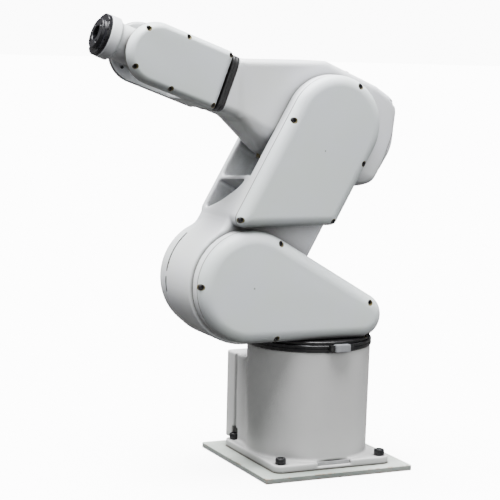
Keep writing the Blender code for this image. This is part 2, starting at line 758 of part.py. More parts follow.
def make_wrist_drives(pivots):
    """Both wrist motors lie across the forearm, one opening to each side, each with its belt."""
    low, high = WRIST_SEAM + 0.0030, WRIST_FACE - 0.0035
    for joint, z, side in (("j5", WRIST_MOTOR_Z, 1), ("j6", -WRIST_MOTOR_Z, -1)):
        motor_profile = [
            (0, side * -0.0265),
            (0.0170, side * -0.0265),
            (0.0170, side * (WRIST_SEAM - 0.001)),
            (0.0040, side * (WRIST_SEAM - 0.001)),
            (0.0040, side * (low - GAP)),
            (0, side * (low - GAP)),
        ]
        motor = turned(motor_profile, "Y", (WRIST_MOTOR_X, 0, z))
        make_object(joint + "_motor", motor, pivots["wrist_unit"], MOTOR)
        ends = sorted((side * low, side * high))
        wheel = rod(0.0090, *ends, "Y", (WRIST_MOTOR_X, 0, z))
        make_object(joint + "_motor_pulley", wheel, pivots["wrist_unit"], ALUMINIUM)
        loop = [(WRIST_MOTOR_X, z, 0.0090), (0, 0, 0.0150)]
        make_belt(joint + "_belt", pivots["wrist_unit"], loop, *ends)
        profile = [
            (0, side * 0.0266),
            (0.0085, side * 0.0266),
            (0.0085, side * low),
            (0.0150, side * low),
            (0.0150, side * high),
            (0, side * high),
        ]
        owner = pivots["wrist"] if joint == "j5" else pivots["wrist_unit"]
        make_object(joint + "_pulley", turned(profile, "Y"), owner, ALUMINIUM)


# Wrist and tool flange


def make_wrist_neck(pivot):
    profile = [
        (0, -0.002), (NECK_RADIUS, -0.002), (NECK_RADIUS, 0.043), (0.0250, 0.0465),
        (0.0285, 0.0505), (0.0285, NECK_END), (0, NECK_END),
    ]
    neck = make_object("wrist_neck", turned(profile, "X"), pivot, PAINT)
    hub = rod(0.0225, -0.0262, 0.0262, "Y")
    join(neck, make_object("wrist_hub", hub, pivot))


def make_tool_flange(pivot):
    back = NECK_END + GAP
    profile = [
        (0, back), (0.0280, back), (0.0280, 0.0695), (0.0200, 0.0695), (0.0200, TOOL_FACE),
        (0.0095, TOOL_FACE), (0.0095, 0.0670), (0, 0.0670),
    ]
    make_object("tool_flange", turned(profile, "X"), pivot, BLACK_STEEL)


def make_pivots():
    turn = math.radians
    turret = make_pivot("turret_axis", None, (0, 0, 0), (0, 0, turn(REST_TURRET)))
    lower = make_pivot(
        "shoulder_axis", turret, (SHOULDER_X, 0, SHOULDER_Z), (0, turn(REST_LOWER_ARM), 0)
    )
    upper = make_pivot("elbow_axis", lower, (0, 0, LOWER_ARM), (0, turn(REST_ELBOW - 90), 0))
    unit = make_pivot("forearm_axis", upper, (FOREARM, 0, 0))
    wrist = make_pivot("wrist_axis", unit, (0, 0, 0))
    tool = make_pivot("tool_axis", wrist, (0, 0, 0))
    return {
        "turret": turret, "lower_arm": lower, "upper_arm": upper,
        "wrist_unit": unit, "wrist": wrist, "tool": tool,
    }


def main():
    clear_scene()
    pivots = make_pivots()
    make_mounting_plate()
    make_base_casting()
    make_base_bolts()
    make_connector_panel()
    make_turret_drive()
    make_turret(pivots["turret"])
    make_shoulder_drive(pivots["turret"])
    make_lower_arm(pivots["lower_arm"])
    make_elbow_drive(pivots["lower_arm"])
    make_upper_arm(pivots["upper_arm"])
    make_forearm_drive(pivots["upper_arm"], pivots["wrist_unit"])
    make_wrist_unit(pivots["wrist_unit"])
    make_wrist_drives(pivots)
    make_wrist_neck(pivots["wrist"])
    make_tool_flange(pivots["tool"])


main()
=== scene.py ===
import functools
import json
import math

import bmesh
import bpy
import numpy as np
from mathutils import Matrix, Vector


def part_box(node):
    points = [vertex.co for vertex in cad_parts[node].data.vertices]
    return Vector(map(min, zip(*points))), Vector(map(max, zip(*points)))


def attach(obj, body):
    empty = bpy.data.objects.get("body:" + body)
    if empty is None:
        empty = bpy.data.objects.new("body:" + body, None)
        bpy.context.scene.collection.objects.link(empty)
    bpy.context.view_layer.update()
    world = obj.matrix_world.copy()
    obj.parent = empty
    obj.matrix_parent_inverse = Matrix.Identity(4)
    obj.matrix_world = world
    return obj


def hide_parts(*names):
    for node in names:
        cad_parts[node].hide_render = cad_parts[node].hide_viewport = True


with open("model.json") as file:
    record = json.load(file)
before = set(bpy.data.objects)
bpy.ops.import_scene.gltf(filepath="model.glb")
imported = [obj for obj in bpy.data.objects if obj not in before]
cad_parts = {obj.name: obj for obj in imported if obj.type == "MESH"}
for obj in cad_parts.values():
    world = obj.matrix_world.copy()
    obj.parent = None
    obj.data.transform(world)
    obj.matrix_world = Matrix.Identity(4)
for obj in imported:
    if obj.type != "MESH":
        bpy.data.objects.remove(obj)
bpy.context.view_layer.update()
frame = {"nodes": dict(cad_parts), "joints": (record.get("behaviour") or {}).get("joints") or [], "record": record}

# The looks of a small six-axis robot arm on its plate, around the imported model.
#
# Each link is drawn in its own frame, in metres, with +Y on the side of the belt covers:
# TURRET has +X along the reach, LOWER has +Z from shoulder to elbow, UPPER and UNIT have +X
# along the forearm. The frames come from the record's joints. Castings are drawn as distance
# fields, so that they have the fillets of a cast part; covers are lofted; round parts are turned.

JOINTS = {joint["name"]: joint for joint in frame["joints"]}
SHOULDER = Vector(JOINTS["lower_arm_swing"]["pos_m"])
ELBOW = Vector(JOINTS["upper_arm_swing"]["pos_m"])
WRIST = Vector(JOINTS["wrist_bend"]["pos_m"])
FOREARM_WAY = Vector(JOINTS["forearm_roll"]["axis"]).normalized()
COVER_WAY = Vector((1, 0, 0))


def link_frame(origin, x_way, z_way):
    """A matrix from a link's own frame to the shared frame."""
    columns = (x_way, z_way.cross(x_way), z_way, Vector(origin))
    return Matrix([[column[i] for column in columns] for i in range(3)] + [[0, 0, 0, 1]])


UP = Vector((0, 0, 1))
ARM_WAY = (ELBOW - SHOULDER).normalized()
BASE = Matrix.Identity(4)
TURRET = link_frame((0, 0, 0), Vector((0, -1, 0)), UP)
LOWER = link_frame(SHOULDER, COVER_WAY.cross(ARM_WAY), ARM_WAY)
UPPER = link_frame(ELBOW, FOREARM_WAY, FOREARM_WAY.cross(COVER_WAY))
UNIT = link_frame(WRIST, FOREARM_WAY, FOREARM_WAY.cross(COVER_WAY))
BODY_FRAMES = {
    "base": BASE, "turret": TURRET, "lower_arm": LOWER, "upper_arm": UPPER,
    "wrist_unit": UNIT, "wrist": UNIT, "flange": UNIT,
}
SHOULDER_X = -SHOULDER.y
SHOULDER_Z = SHOULDER.z
ARM_LENGTH = (ELBOW - SHOULDER).length

# Planes across the arm, along each link's +Y
COVER_FACE = 0.076
SHOULDER_SEAM = 0.0600
ELBOW_SEAM = 0.0617
LINK_NEAR = 0.0440
LINK_FAR = -0.0570
FORK_NEAR = 0.0437
FORK_FAR = -0.0445
ELBOW_SIDE = 0.0430
WRIST_SEAM = 0.0300
WRIST_FACE = 0.0460

GAP = 0.0004
CELL = 0.0020  # of the distance fields' grids
SHARP = math.radians(35)  # edges over this angle stay sharp


# Distance fields: functions of x, y and z arrays, below 0 inside the material


def rounded_and(a, b, radius):
    """Where both fields are, with the edge between them rounded."""
    corner = np.sqrt(np.maximum(a + radius, 0) ** 2 + np.maximum(b + radius, 0) ** 2)
    return np.minimum(np.maximum(a, b), -radius) + corner


def rounded_or(a, b, radius):
    """Where either field is, with a fillet of that radius between them."""
    return -rounded_and(-a, -b, radius)


def rounded_cut(a, b, radius):
    return rounded_and(a, -b, radius)


def either(*fields):
    """Where any of the fields is, with sharp corners between them."""
    return functools.reduce(np.minimum, fields)


def tangents(circles):
    """The angles at which a string round these circles leaves each for the next."""
    angles = []
    for (x0, z0, r0), (x1, z1, r1) in zip(circles, circles[1:] + circles[:1]):
        lean = math.asin((r0 - r1) / math.hypot(x1 - x0, z1 - z0))
        angles.append(math.atan2(z1 - z0, x1 - x0) - math.pi / 2 + lean)
    return angles


def hull(circles, u, v):
    """Distance to the outline of a string round circles (u, v, radius), given anticlockwise."""
    ends = tangents(circles)
    best = -np.inf
    for (u0, v0, radius), start, end in zip(circles, ends[-1:] + ends[:-1], ends):
        du, dv = u - u0, v - v0
        turned_by = (np.arctan2(dv, du) - start) % (2 * math.pi)
        on_arc = turned_by <= (end - start) % (2 * math.pi)
        best = np.maximum(best, du * math.cos(end) + dv * math.sin(end) - radius)
        best = np.where(on_arc, np.maximum(best, np.hypot(du, dv) - radius), best)
    return best


def between(w, low, high):
    return np.abs(w - (low + high) / 2) - (high - low) / 2


def disc(u, v, centre, radius):
    return np.hypot(u - centre[0], v - centre[1]) - radius


def rectangle(u, v, low, high, corner):
    """Distance to a rectangle from low to high, with rounded corners."""
    du = between(u, low[0], high[0]) + corner
    dv = between(v, low[1], high[1]) + corner
    outside = np.hypot(np.maximum(du, 0), np.maximum(dv, 0))
    return outside + np.minimum(np.maximum(du, dv), 0) - corner


def prism(outline, w, low, high, edge):
    """An outline's distance made solid between two planes, with rounded edges."""
    return rounded_and(outline, between(w, low, high), edge)


def net_points(field, low, cell, counts):
    """Surface nets: one point in each grid cell that the surface passes through."""
    axes = [low[i] + cell * np.arange(counts[i]) for i in range(3)]
    x, y, z = axes[0][:, None, None], axes[1][None, :, None], axes[2][None, None, :]
    values = np.broadcast_to(field(x, y, z), counts).astype(np.float32)
    inside = values < 0
    corners = [(i, j, k) for i in (0, 1) for j in (0, 1) for k in (0, 1)]
    size = [count - 1 for count in counts]
    found = sum(
        inside[i:i + size[0], j:j + size[1], k:k + size[2]].astype(np.int8)
        for i, j, k in corners
    )
    cells = np.argwhere((found > 0) & (found < 8))
    at = {c: values[tuple((cells + c).T)] for c in corners}
    total = np.zeros((len(cells), 3))
    crossings = np.zeros(len(cells))
    for start in corners:
        for axis in range(3):
            if start[axis]:
                continue
            end = tuple(1 if i == axis else start[i] for i in range(3))
            a, b = at[start], at[end]
            crossed = (a < 0) != (b < 0)
            share = np.where(crossed, a / np.where(crossed, a - b, 1), 0)
            place = np.array(start, float)[None, :] * crossed[:, None]
            place[:, axis] += share
            total += place
            crossings += crossed
    points = np.array(low) + cell * (cells + total / crossings[:, None])
    return points, cells, inside


def net_faces(cells, inside):
    """The four-sided faces that join the points of neighbouring cells."""
    number = np.full([count - 1 for count in inside.shape], -1, np.int64)
    number[tuple(cells.T)] = np.arange(len(cells))
    faces = []
    for axis in range(3):
        first, second = (axis + 1) % 3, (axis + 2) % 3
        ahead = np.roll(inside, -1, axis)
        crossed = inside != ahead
        for other in (axis, first, second):
            ends = [slice(None)] * 3
            ends[other] = -1
            crossed[tuple(ends)] = False
            if other != axis:
                ends[other] = 0
                crossed[tuple(ends)] = False
        edges = np.argwhere(crossed)
        ring = []
        for back_first, back_second in ((1, 1), (0, 1), (0, 0), (1, 0)):
            cell = edges.copy()
            cell[:, first] -= back_first
            cell[:, second] -= back_second
            ring.append(number[tuple(cell.T)])
        quads = np.stack(ring, 1)
        leaving = inside[tuple(edges.T)]
        quads[~leaving] = quads[~leaving][:, ::-1]
        faces.append(quads)
    return np.concatenate(faces)


def settle(field, points, cell):
    """Moves the points onto the surface, by two Newton steps."""
    step = cell * 0.05
    for _ in range(2):
        here = field(*points.T)
        slope = np.zeros_like(points)
        for axis in range(3):
            moved = points.copy()
            moved[:, axis] += step
            slope[:, axis] = (field(*moved.T) - here) / step
        length = np.maximum((slope ** 2).sum(1), 0.25)
        move = slope * (here / length)[:, None]
        points = points - np.clip(move, -cell, cell)
    return points


def cast(name, field, low, high, cell=CELL):
    """A mesh object, in its link's frame, from a distance field inside a box."""
    low = [value - 1.5 * cell for value in low]
    counts = tuple(int((high[i] - low[i]) / cell) + 3 for i in range(3))
    points, cells, inside = net_points(field, low, cell, counts)
    faces = net_faces(cells, inside)
    points = settle(field, points, cell)
    mesh = bpy.data.meshes.new(name)
    mesh.vertices.add(len(points))
    mesh.vertices.foreach_set("co", points.astype(np.float32).ravel())
    mesh.loops.add(faces.size)
    mesh.loops.foreach_set("vertex_index", faces.astype(np.int32).ravel())
    mesh.polygons.add(len(faces))
    mesh.polygons.foreach_set("loop_start", np.arange(0, faces.size, 4, dtype=np.int32))
    mesh.update(calc_edges=True)
    mesh.shade_smooth()
    obj = bpy.data.objects.new(name, mesh)
    bpy.context.scene.collection.objects.link(obj)
    return obj


# Lofted and turned meshes


def rounded(circles, step=math.radians(5)):
    """Points round the outline of a string round circles (x, z, radius)."""
    ends = tangents(circles)
    points = []
    for (x, z, radius), start, end in zip(circles, ends[-1:] + ends[:-1], ends):
        turn = (end - start) % (2 * math.pi)
        steps = max(2, math.ceil(turn / step - 0.35))
        for i in range(steps + 1):
            angle = start + turn * i / steps
            points.append((x + radius * math.cos(angle), z + radius * math.sin(angle)))
    return points


def across(outline, y):
    return [Vector((x, y, z)) for x, z in outline]


def skin(rings, closed=False):
    made = bmesh.new()
    rows = [[made.verts.new(point) for point in ring] for ring in rings]
    pairs = list(zip(rows, rows[1:]))
    if closed:
        pairs.append((rows[-1], rows[0]))
    else:
        made.faces.new(rows[0])
        made.faces.new(rows[-1])
    for row, following in pairs:
        for i in range(len(row)):
            j = (i + 1) % len(row)
            made.faces.new((row[i], row[j], following[j], following[i]))
    return made


def softened(profile, radius, steps=3):
    """A turned profile with its inner corners rounded, all but the two ends."""
    points = [profile[0]]
    for before, corner, after in zip(profile, profile[1:], profile[2:]):
        here = Vector(corner)
        back, ahead = Vector(before) - here, Vector(after) - here
        reach = min(radius, back.length * 0.45, ahead.length * 0.45)
        start, end = here + back.normalized() * reach, here + ahead.normalized() * reach
        for i in range(steps + 1):
            t = i / steps
            point = start * (1 - t) ** 2 + here * 2 * t * (1 - t) + end * t ** 2
            points.append(tuple(point))
    points.append(profile[-1])
    return points


def turned(profile, axis, centre=(0, 0, 0), segments=64, ribs=0, rib_depth=0):
    """A lathe shape from (radius, height) points. Ribs scallop its widest part, as on a screw's
    head."""
    made = bmesh.new()
    widest = max(radius for radius, _ in profile)
    rings = []
    for radius, height in profile:
        if radius < 1e-7:
            rings.append([made.verts.new((0, 0, height))] * segments)
            continue
        ring = []
        for i in range(segments):
            angle = 2 * math.pi * i / segments
            ribbed = ribs and radius > widest * 0.93
            r = radius - rib_depth * (0.5 - 0.5 * math.cos(ribs * angle)) * bool(ribbed)
            ring.append(made.verts.new((r * math.cos(angle), r * math.sin(angle), height)))
        rings.append(ring)
    pairs = list(zip(rings, rings[1:]))
    if profile[0][0] > 1e-7:
        pairs.append((rings[-1], rings[0]))
    for low, high in pairs:
        for i in range(segments):
            j = (i + 1) % segments
            corners = dict.fromkeys((low[i], low[j], high[j], high[i]))
            if len(corners) > 2:
                made.faces.new(list(corners))
    turn = {
        "X": Matrix.Rotation(math.pi / 2, 4, "Y"),
        "Y": Matrix.Rotation(-math.pi / 2, 4, "X"),
        "Z": Matrix.Identity(4),
    }[axis]
    made.transform(Matrix.Translation(centre) @ turn)
    return made


def merged(parts):
    """One bmesh from several, which are freed."""
    whole = bmesh.new()
    for part in parts:
        mesh = bpy.data.meshes.new("part")
        part.to_mesh(mesh)
        part.free()
        whole.from_mesh(mesh)
        bpy.data.meshes.remove(mesh)
    return whole


def mesh_object(name, made):
    bmesh.ops.recalc_face_normals(made, faces=made.faces)
    mesh = bpy.data.meshes.new(name)
    made.to_mesh(mesh)
    made.free()
    mesh.shade_smooth()
    mesh.set_sharp_from_angle(angle=SHARP)
    obj = bpy.data.objects.new(name, mesh)
    bpy.context.scene.collection.objects.link(obj)
    return obj


def cut_away(obj, cutter_mesh):
    """Boolean difference, applied."""
    cutter = mesh_object("cutter", cutter_mesh)
    modifier = obj.modifiers.new("cut", "BOOLEAN")
    modifier.object = cutter
    modifier.solver = "EXACT"
    graph = bpy.context.evaluated_depsgraph_get()
    result = bpy.data.meshes.new_from_object(obj.evaluated_get(graph))
    obj.modifiers.clear()
    obj.data = result
    bpy.data.objects.remove(cutter)
    obj.data.shade_smooth()
    obj.data.set_sharp_from_angle(angle=SHARP)


def place(obj, body, slot, nodes=(), material=None):
    """Finishes a piece: puts it in its body's frame, on its body and in its slot's material,
    or in a material of its own."""
    obj.data.transform(BODY_FRAMES[body])
    obj.data.materials.clear()
    obj.data.materials.append(material or SLOT_MATERIALS[slot])
    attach(obj, body)
    if nodes:
        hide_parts(*nodes)


# Materials


def new_material(name):
    material = bpy.data.materials.new(name)
    material.use_nodes = True
    return material, material.node_tree.nodes, material.node_tree.links


def add_node(tree, kind, **settings):
    """A node with its settings. Those that name an input are its values."""
    node = tree.nodes.new(kind)
    for key, value in settings.items():
        if key in node.inputs:
            node.inputs[key].default_value = value
        else:
            setattr(node, key, value)
    return node


def noise(tree, scale, detail, roughness=0.5):
    """Noise in the object's own frame, in metres."""
    place_node = add_node(tree, "ShaderNodeTexCoord")
    texture = add_node(tree, "ShaderNodeTexNoise", Scale=scale, Detail=detail, Roughness=roughness)
    tree.links.new(place_node.outputs["Object"], texture.inputs["Vector"])
    return texture.outputs["Fac"]


def ranged(tree, value, low, high, to_low, to_high):
    node = add_node(tree, "ShaderNodeMapRange")
    limits = {"From Min": low, "From Max": high, "To Min": to_low, "To Max": to_high}
    for key, number in limits.items():
        node.inputs[key].default_value = number
    tree.links.new(value, node.inputs["Value"])
    return node.outputs["Result"]


def mixed(tree, factor, first, second):
    """A colour mix. first and second are colours or sockets."""
    node = add_node(tree, "ShaderNodeMix", data_type="RGBA")
    tree.links.new(factor, node.inputs["Factor"])
    for socket, value in ((node.inputs[6], first), (node.inputs[7], second)):
        if isinstance(value, tuple):
            socket.default_value = (*value, 1)
        else:
            tree.links.new(value, socket)
    return node.outputs[2]


def bumped(tree, height, distance, strength, under=None):
    node = add_node(tree, "ShaderNodeBump", Strength=strength, Distance=distance)
    tree.links.new(height, node.inputs["Height"])
    if under:
        tree.links.new(under, node.inputs["Normal"])
    return node.outputs["Normal"]


def with_painted_shade(tree, colour):
    """The colour with painted shade: darker on faces that look down and deep between the parts."""
    geometry = add_node(tree, "ShaderNodeNewGeometry")
    parts = add_node(tree, "ShaderNodeSeparateXYZ")
    tree.links.new(geometry.outputs["Normal"], parts.inputs["Vector"])
    # Painted shade on faces that look down, and in the hollows that the wide AO finds; both darken toward near
    # black.
    below = ranged(tree, parts.outputs["Z"], -0.10, -0.75, 0, 0.80)
    deep = add_node(tree, "ShaderNodeAmbientOcclusion", Distance=0.045, samples=12)
    hollow_shade = ranged(tree, deep.outputs["AO"], 0.30, 0.80, 0.86, 0)
    painted_shade_share = add_node(tree, "ShaderNodeMath", operation="MAXIMUM")
    tree.links.new(below, painted_shade_share.inputs[0])
    tree.links.new(hollow_shade, painted_shade_share.inputs[1])
    return mixed(tree, painted_shade_share.outputs[0], colour, (0.055, 0.055, 0.054))


def paint(name, colour, shade, roughness, grime_and_shade_colour=(0.42, 0.40, 0.33), grime_and_shade_share=0.35):
    """Sprayed paint: faint cloudiness, orange peel, uneven gloss, grime with painted shade in the corners, and
    painted shade on faces that look down and between the parts.
    """
    material, nodes, links = new_material(name)
    tree = material.node_tree
    shader = nodes["Principled BSDF"]
    cloud = ranged(tree, noise(tree, 14, 3), 0.35, 0.65, 0, 1)
    tone = mixed(tree, cloud, colour, shade)
    # Grime and painted shade in tight corners: the short AO browns and darkens them, broken up by speckle.
    corner = add_node(tree, "ShaderNodeAmbientOcclusion", Distance=0.006, samples=8)
    speckle = ranged(tree, noise(tree, 60, 4, 0.6), 0.3, 0.7, 0.6, 1.3)
    depth = ranged(tree, corner.outputs["AO"], 0.35, 0.80, grime_and_shade_share, 0)
    both = add_node(tree, "ShaderNodeMath", operation="MULTIPLY")
    links.new(depth, both.inputs[0])
    links.new(speckle, both.inputs[1])
    grimed_and_corner_shaded = mixed(tree, both.outputs[0], tone, grime_and_shade_colour)
    # Painted shade under things and deep between the parts goes over the whole colour.
    links.new(with_painted_shade(tree, grimed_and_corner_shaded), shader.inputs["Base Color"])
    gloss = ranged(tree, noise(tree, 35, 3), 0.3, 0.7, roughness - 0.05, roughness + 0.06)
    links.new(gloss, shader.inputs["Roughness"])
    fine = bumped(tree, noise(tree, 900, 2), 0.00006, 0.6)
    links.new(bumped(tree, noise(tree, 40, 1), 0.0003, 0.3, fine), shader.inputs["Normal"])
    shader.inputs["Specular IOR Level"].default_value = 0.4
    return material


def metal(name, colour, shade, roughness, metallic=1.0, grain=500):
    """Machined or blackened metal, with uneven tone and a fine grain."""
    material, nodes, links = new_material(name)
    tree = material.node_tree
    shader = nodes["Principled BSDF"]
    shader.inputs["Metallic"].default_value = metallic
    patch = ranged(tree, noise(tree, 70, 4, 0.6), 0.35, 0.65, 0, 1)
    links.new(mixed(tree, patch, colour, shade), shader.inputs["Base Color"])
    gloss = ranged(tree, noise(tree, 120, 3), 0.3, 0.7, roughness - 0.08, roughness + 0.10)
    links.new(gloss, shader.inputs["Roughness"])
    links.new(bumped(tree, noise(tree, grain, 3), 0.00004, 0.7), shader.inputs["Normal"])
    return material


def worn_paint(name, colour, shade):
    """Green-grey plate paint, with rusty chips along its sharp edges."""
    # Grime with painted shade in the corners, darker and stronger than on the arm.
    material = paint(name, colour, shade, 0.55, (0.30, 0.28, 0.22), 0.5)
    tree = material.node_tree
    nodes, links = tree.nodes, tree.links
    shader = nodes["Principled BSDF"]
    painted = shader.inputs["Base Color"].links[0].from_socket
    bevel = add_node(tree, "ShaderNodeBevel", Radius=0.0025, samples=6)
    geometry = add_node(tree, "ShaderNodeNewGeometry")
    turned_away = add_node(tree, "ShaderNodeVectorMath", operation="DOT_PRODUCT")
    links.new(bevel.outputs["Normal"], turned_away.inputs[0])
    links.new(geometry.outputs["True Normal"], turned_away.inputs[1])
    edge = ranged(tree, turned_away.outputs["Value"], 0.93, 0.995, 1, 0)
    chips = ranged(tree, noise(tree, 90, 5, 0.65), 0.52, 0.56, 0, 1)
    specks = ranged(tree, noise(tree, 230, 4, 0.7), 0.66, 0.70, 0, 0.7)
    worn = add_node(tree, "ShaderNodeMath", operation="MULTIPLY_ADD", use_clamp=True)
    links.new(edge, worn.inputs[0])
    links.new(chips, worn.inputs[1])
    links.new(specks, worn.inputs[2])
    rust = mixed(tree, chips, (0.08, 0.04, 0.02), (0.20, 0.09, 0.04))
    links.new(mixed(tree, worn.outputs[0], painted, rust), shader.inputs["Base Color"])
    return material


SLOT_MATERIALS = {
    "arm_paint": paint("arm_paint", (0.775, 0.792, 0.835), (0.775, 0.798, 0.800), 0.40),
    "cover_paint": paint("cover_paint", (0.700, 0.742, 0.775), (0.690, 0.745, 0.735), 0.42),
    "base_paint": paint("base_paint", (0.560, 0.562, 0.560), (0.530, 0.533, 0.533), 0.55),
    "plate_paint": worn_paint("plate_paint", (0.50, 0.54, 0.50), (0.30, 0.34, 0.31)),
    "black_steel": metal("black_steel", (0.016, 0.016, 0.018), (0.035, 0.035, 0.036), 0.38, 0.6),
    "black_rubber": metal(
        "black_rubber", (0.010, 0.010, 0.011), (0.018, 0.018, 0.019), 0.50, 0.0, 250
    ),
    "steel": metal("steel", (0.55, 0.55, 0.56), (0.42, 0.42, 0.43), 0.34),
    "motor": metal("motor_black", (0.040, 0.040, 0.043), (0.060, 0.060, 0.063), 0.50, 0.2),
    "brass": metal("brass", (0.62, 0.42, 0.16), (0.45, 0.28, 0.10), 0.34),
    "aluminium": metal("aluminium", (0.62, 0.63, 0.65), (0.50, 0.51, 0.53), 0.40),
}
POCKET = metal("pocket_brown", (0.22, 0.19, 0.09), (0.10, 0.085, 0.045), 0.60, 0.0)
COPPER = metal("copper", (0.26, 0.13, 0.06), (0.09, 0.05, 0.03), 0.45, 0.3)
FLANGE_BLACK = metal("flange_black", (0.008, 0.008, 0.010), (0.016, 0.016, 0.020), 0.26, 0.3)
JOINT_BROWN = metal("joint_brown", (0.10, 0.075, 0.06), (0.05, 0.042, 0.036), 0.65, 0.0)
SHADOW_GREY = metal("shadow_grey", (0.34, 0.34, 0.35), (0.26, 0.26, 0.27), 0.60, 0.0)
STOP_GREY = metal("stop_grey", (0.40, 0.41, 0.43), (0.28, 0.29, 0.31), 0.45, 0.5)


def finish_cad_nodes():
    """Every CAD node that stays in view takes the detailed material of its slot."""
    for entry in frame["record"]["subparts"]:
        node = frame["nodes"][entry["node"]]
        node.data.materials.clear()
        node.data.materials.append(SLOT_MATERIALS[entry["material_slot"]])
        node.data.shade_smooth()
        node.data.set_sharp_from_angle(angle=math.radians(30))


# Screws


def socket_screw(radius, height, ribs=24):
    """A socket screw's head along +Y, with a chamfered rim and a socket."""
    socket = radius * 0.52
    profile = [
        (0, 0), (radius, 0), (radius, height - radius * 0.18), (radius * 0.86, height),
        (socket, height), (socket, height * 0.45), (0, height * 0.40),
    ]
    return turned(softened(profile, radius * 0.08, 2), "Y", (0, 0, 0), 24, ribs, radius * 0.05)


def screws(name, body, places, way, radius, height):
    """Black socket screws, their seats at places and their heads pointing along way."""
    turn = Vector(way).to_track_quat("Y", "Z").to_matrix().to_4x4()
    heads = []
    for seat in places:
        head = socket_screw(radius, height)
        head.transform(Matrix.Translation(seat) @ turn)
        heads.append(head)
    place(mesh_object(name, merged(heads)), body, "black_steel")


def rim_height(pegs, rim, depth, x, z):
    """How high a cover with this outline and rim stands over its seam."""
    inset = np.clip(-hull(pegs, np.array([x]), np.array([z]))[0], 0, rim)
    return depth * math.sqrt(1 - (1 - inset / rim) ** 2)


def add_pockets(cover, name, body, places, pegs, seam, face, rim, radius, dots):
    """Screw pockets in a cover's rim, each with a dull brown sleeve and a black socket screw.
    Dots are small dimples in the flat face."""
    side = math.copysign(1, face)
    depth = abs(face - seam)
    floor = seam + side * 0.0040
    inner = radius - 0.0007
    cutters, sleeves, seats = [], [], []
    for x, z in places:
        ends = sorted((floor, face + side * 0.01))
        hole = [(0, ends[0]), (radius, ends[0]), (radius, ends[1]), (0, ends[1])]
        cutters.append(turned(hole, "Y", (x, 0, z), 24))
        angles = [2 * math.pi * i / 24 for i in range(24)]
        wall = [(x + radius * 0.99 * math.cos(a), z + radius * 0.99 * math.sin(a)) for a in angles]
        mouth = [max(rim_height(pegs, rim, depth, u, v) - 0.0005, 0.0045) for u, v in wall]
        inside = [(x + inner * math.cos(a), z + inner * math.sin(a)) for a in angles]
        sleeves.append(skin([
            [Vector((u, floor, v)) for u, v in wall],
            [Vector((u, seam + side * h, v)) for (u, v), h in zip(wall, mouth)],
            [Vector((u, seam + side * h, v)) for (u, v), h in zip(inside, mouth)],
            [Vector((u, floor, v)) for u, v in inside],
        ], closed=True))
        base = sorted((floor + side * 0.0001, floor + side * 0.0008))
        plate = [(0, base[0]), (inner, base[0]), (inner, base[1]), (0, base[1])]
        sleeves.append(turned(plate, "Y", (x, 0, z), 24))
        seats.append((x, floor + side * 0.0009, z))
    for x, z in dots:
        ends = sorted((face - side * 0.0009, face + side * 0.002))
        hole = [(0, ends[0]), (0.0012, ends[0]), (0.0012, ends[1]), (0, ends[1])]
        cutters.append(turned(hole, "Y", (x, 0, z), 16))
    cut_away(cover, merged(cutters))
    place(mesh_object(name + "_sleeves", merged(sleeves)), body, "brass", material=POCKET)
    screws(name + "_screws", body, seats, (0, side, 0), radius * 0.78, 0.0045)


# Covers


def cover_shell(outline, seam, face, wall, rim):
    """A hollow cover, open at its seam, with an elliptical rim rising to a flat face. The rim's
    foot is rounded, so that a groove shows at the seam."""
    side = math.copysign(1, face - seam)
    depth = face - seam
    steps = 12
    outer = [across(outline(0.0012), seam), across(outline(0.0003), seam + side * 0.0004)]
    outer.append(across(outline(0), seam + side * 0.0012))
    inner = [across(outline(wall), seam)]
    for i in range(1, steps + 1):
        swing = math.pi / 2 * i / steps
        inset = rim * (1 - math.cos(swing))
        rise = math.sin(swing)
        low = side * 0.0012
        outer.append(across(outline(inset), seam + low + (depth - low) * rise))
        if i % 3 == 0:
            inner.append(across(outline(inset + wall), seam + (depth - side * wall) * rise))
    return skin(inner[::-1] + outer)


def shoulder_pegs(inset):
    return [(SHOULDER_X, SHOULDER_Z, 0.075 - inset), (-0.045, 0.2115, 0.030 - inset)]


def long_pegs(inset):
    """Round at the elbow, with a straight foot that lies level at rest."""
    side = 0.066 - inset
    foot = 0.079 + inset
    corner = max(0.012 - inset, 0.004)
    lean_x, lean_z = UP.dot(LOWER.col[0].to_3d()), UP.dot(LOWER.col[2].to_3d())
    ends = (corner - side, side - corner)
    pegs = [(x, (foot + corner - lean_x * x) / lean_z, corner) for x in ends]
    return pegs + [(0, ARM_LENGTH, side)]


def wrist_pegs(inset):
    back = -0.100 + inset
    half = 0.0405 - inset
    corner = max(0.006 - inset, 0.003)
    pegs = [(back + corner, z, corner) for z in (half - corner, corner - half)]
    return pegs + [(0, 0, half)]


def make_cover(node, body, pegs, seam, face, rim, radius, places, dots):
    """A belt cover with its screws, and the dark gasket in its seam."""
    seam += math.copysign(GAP, seam)
    shell = cover_shell(lambda inset: rounded(pegs(inset)), seam, face, 0.0025, rim)
    cover = mesh_object(node + "_shell", shell)
    add_pockets(cover, node, body, places, pegs(0), seam, face, rim, radius, dots)
    place(cover, body, "cover_paint", [node])
    side = math.copysign(1, seam)
    gasket = []
    for inset, y in ((0.0001, -0.0009), (0.0001, 0.0007), (0.0022, 0.0007), (0.0022, -0.0009)):
        gasket.append(across(rounded(pegs(inset)), seam + side * y))
    gasket = mesh_object(node + "_gasket", skin(gasket, closed=True))
    place(gasket, body, "black_rubber", material=JOINT_BROWN)


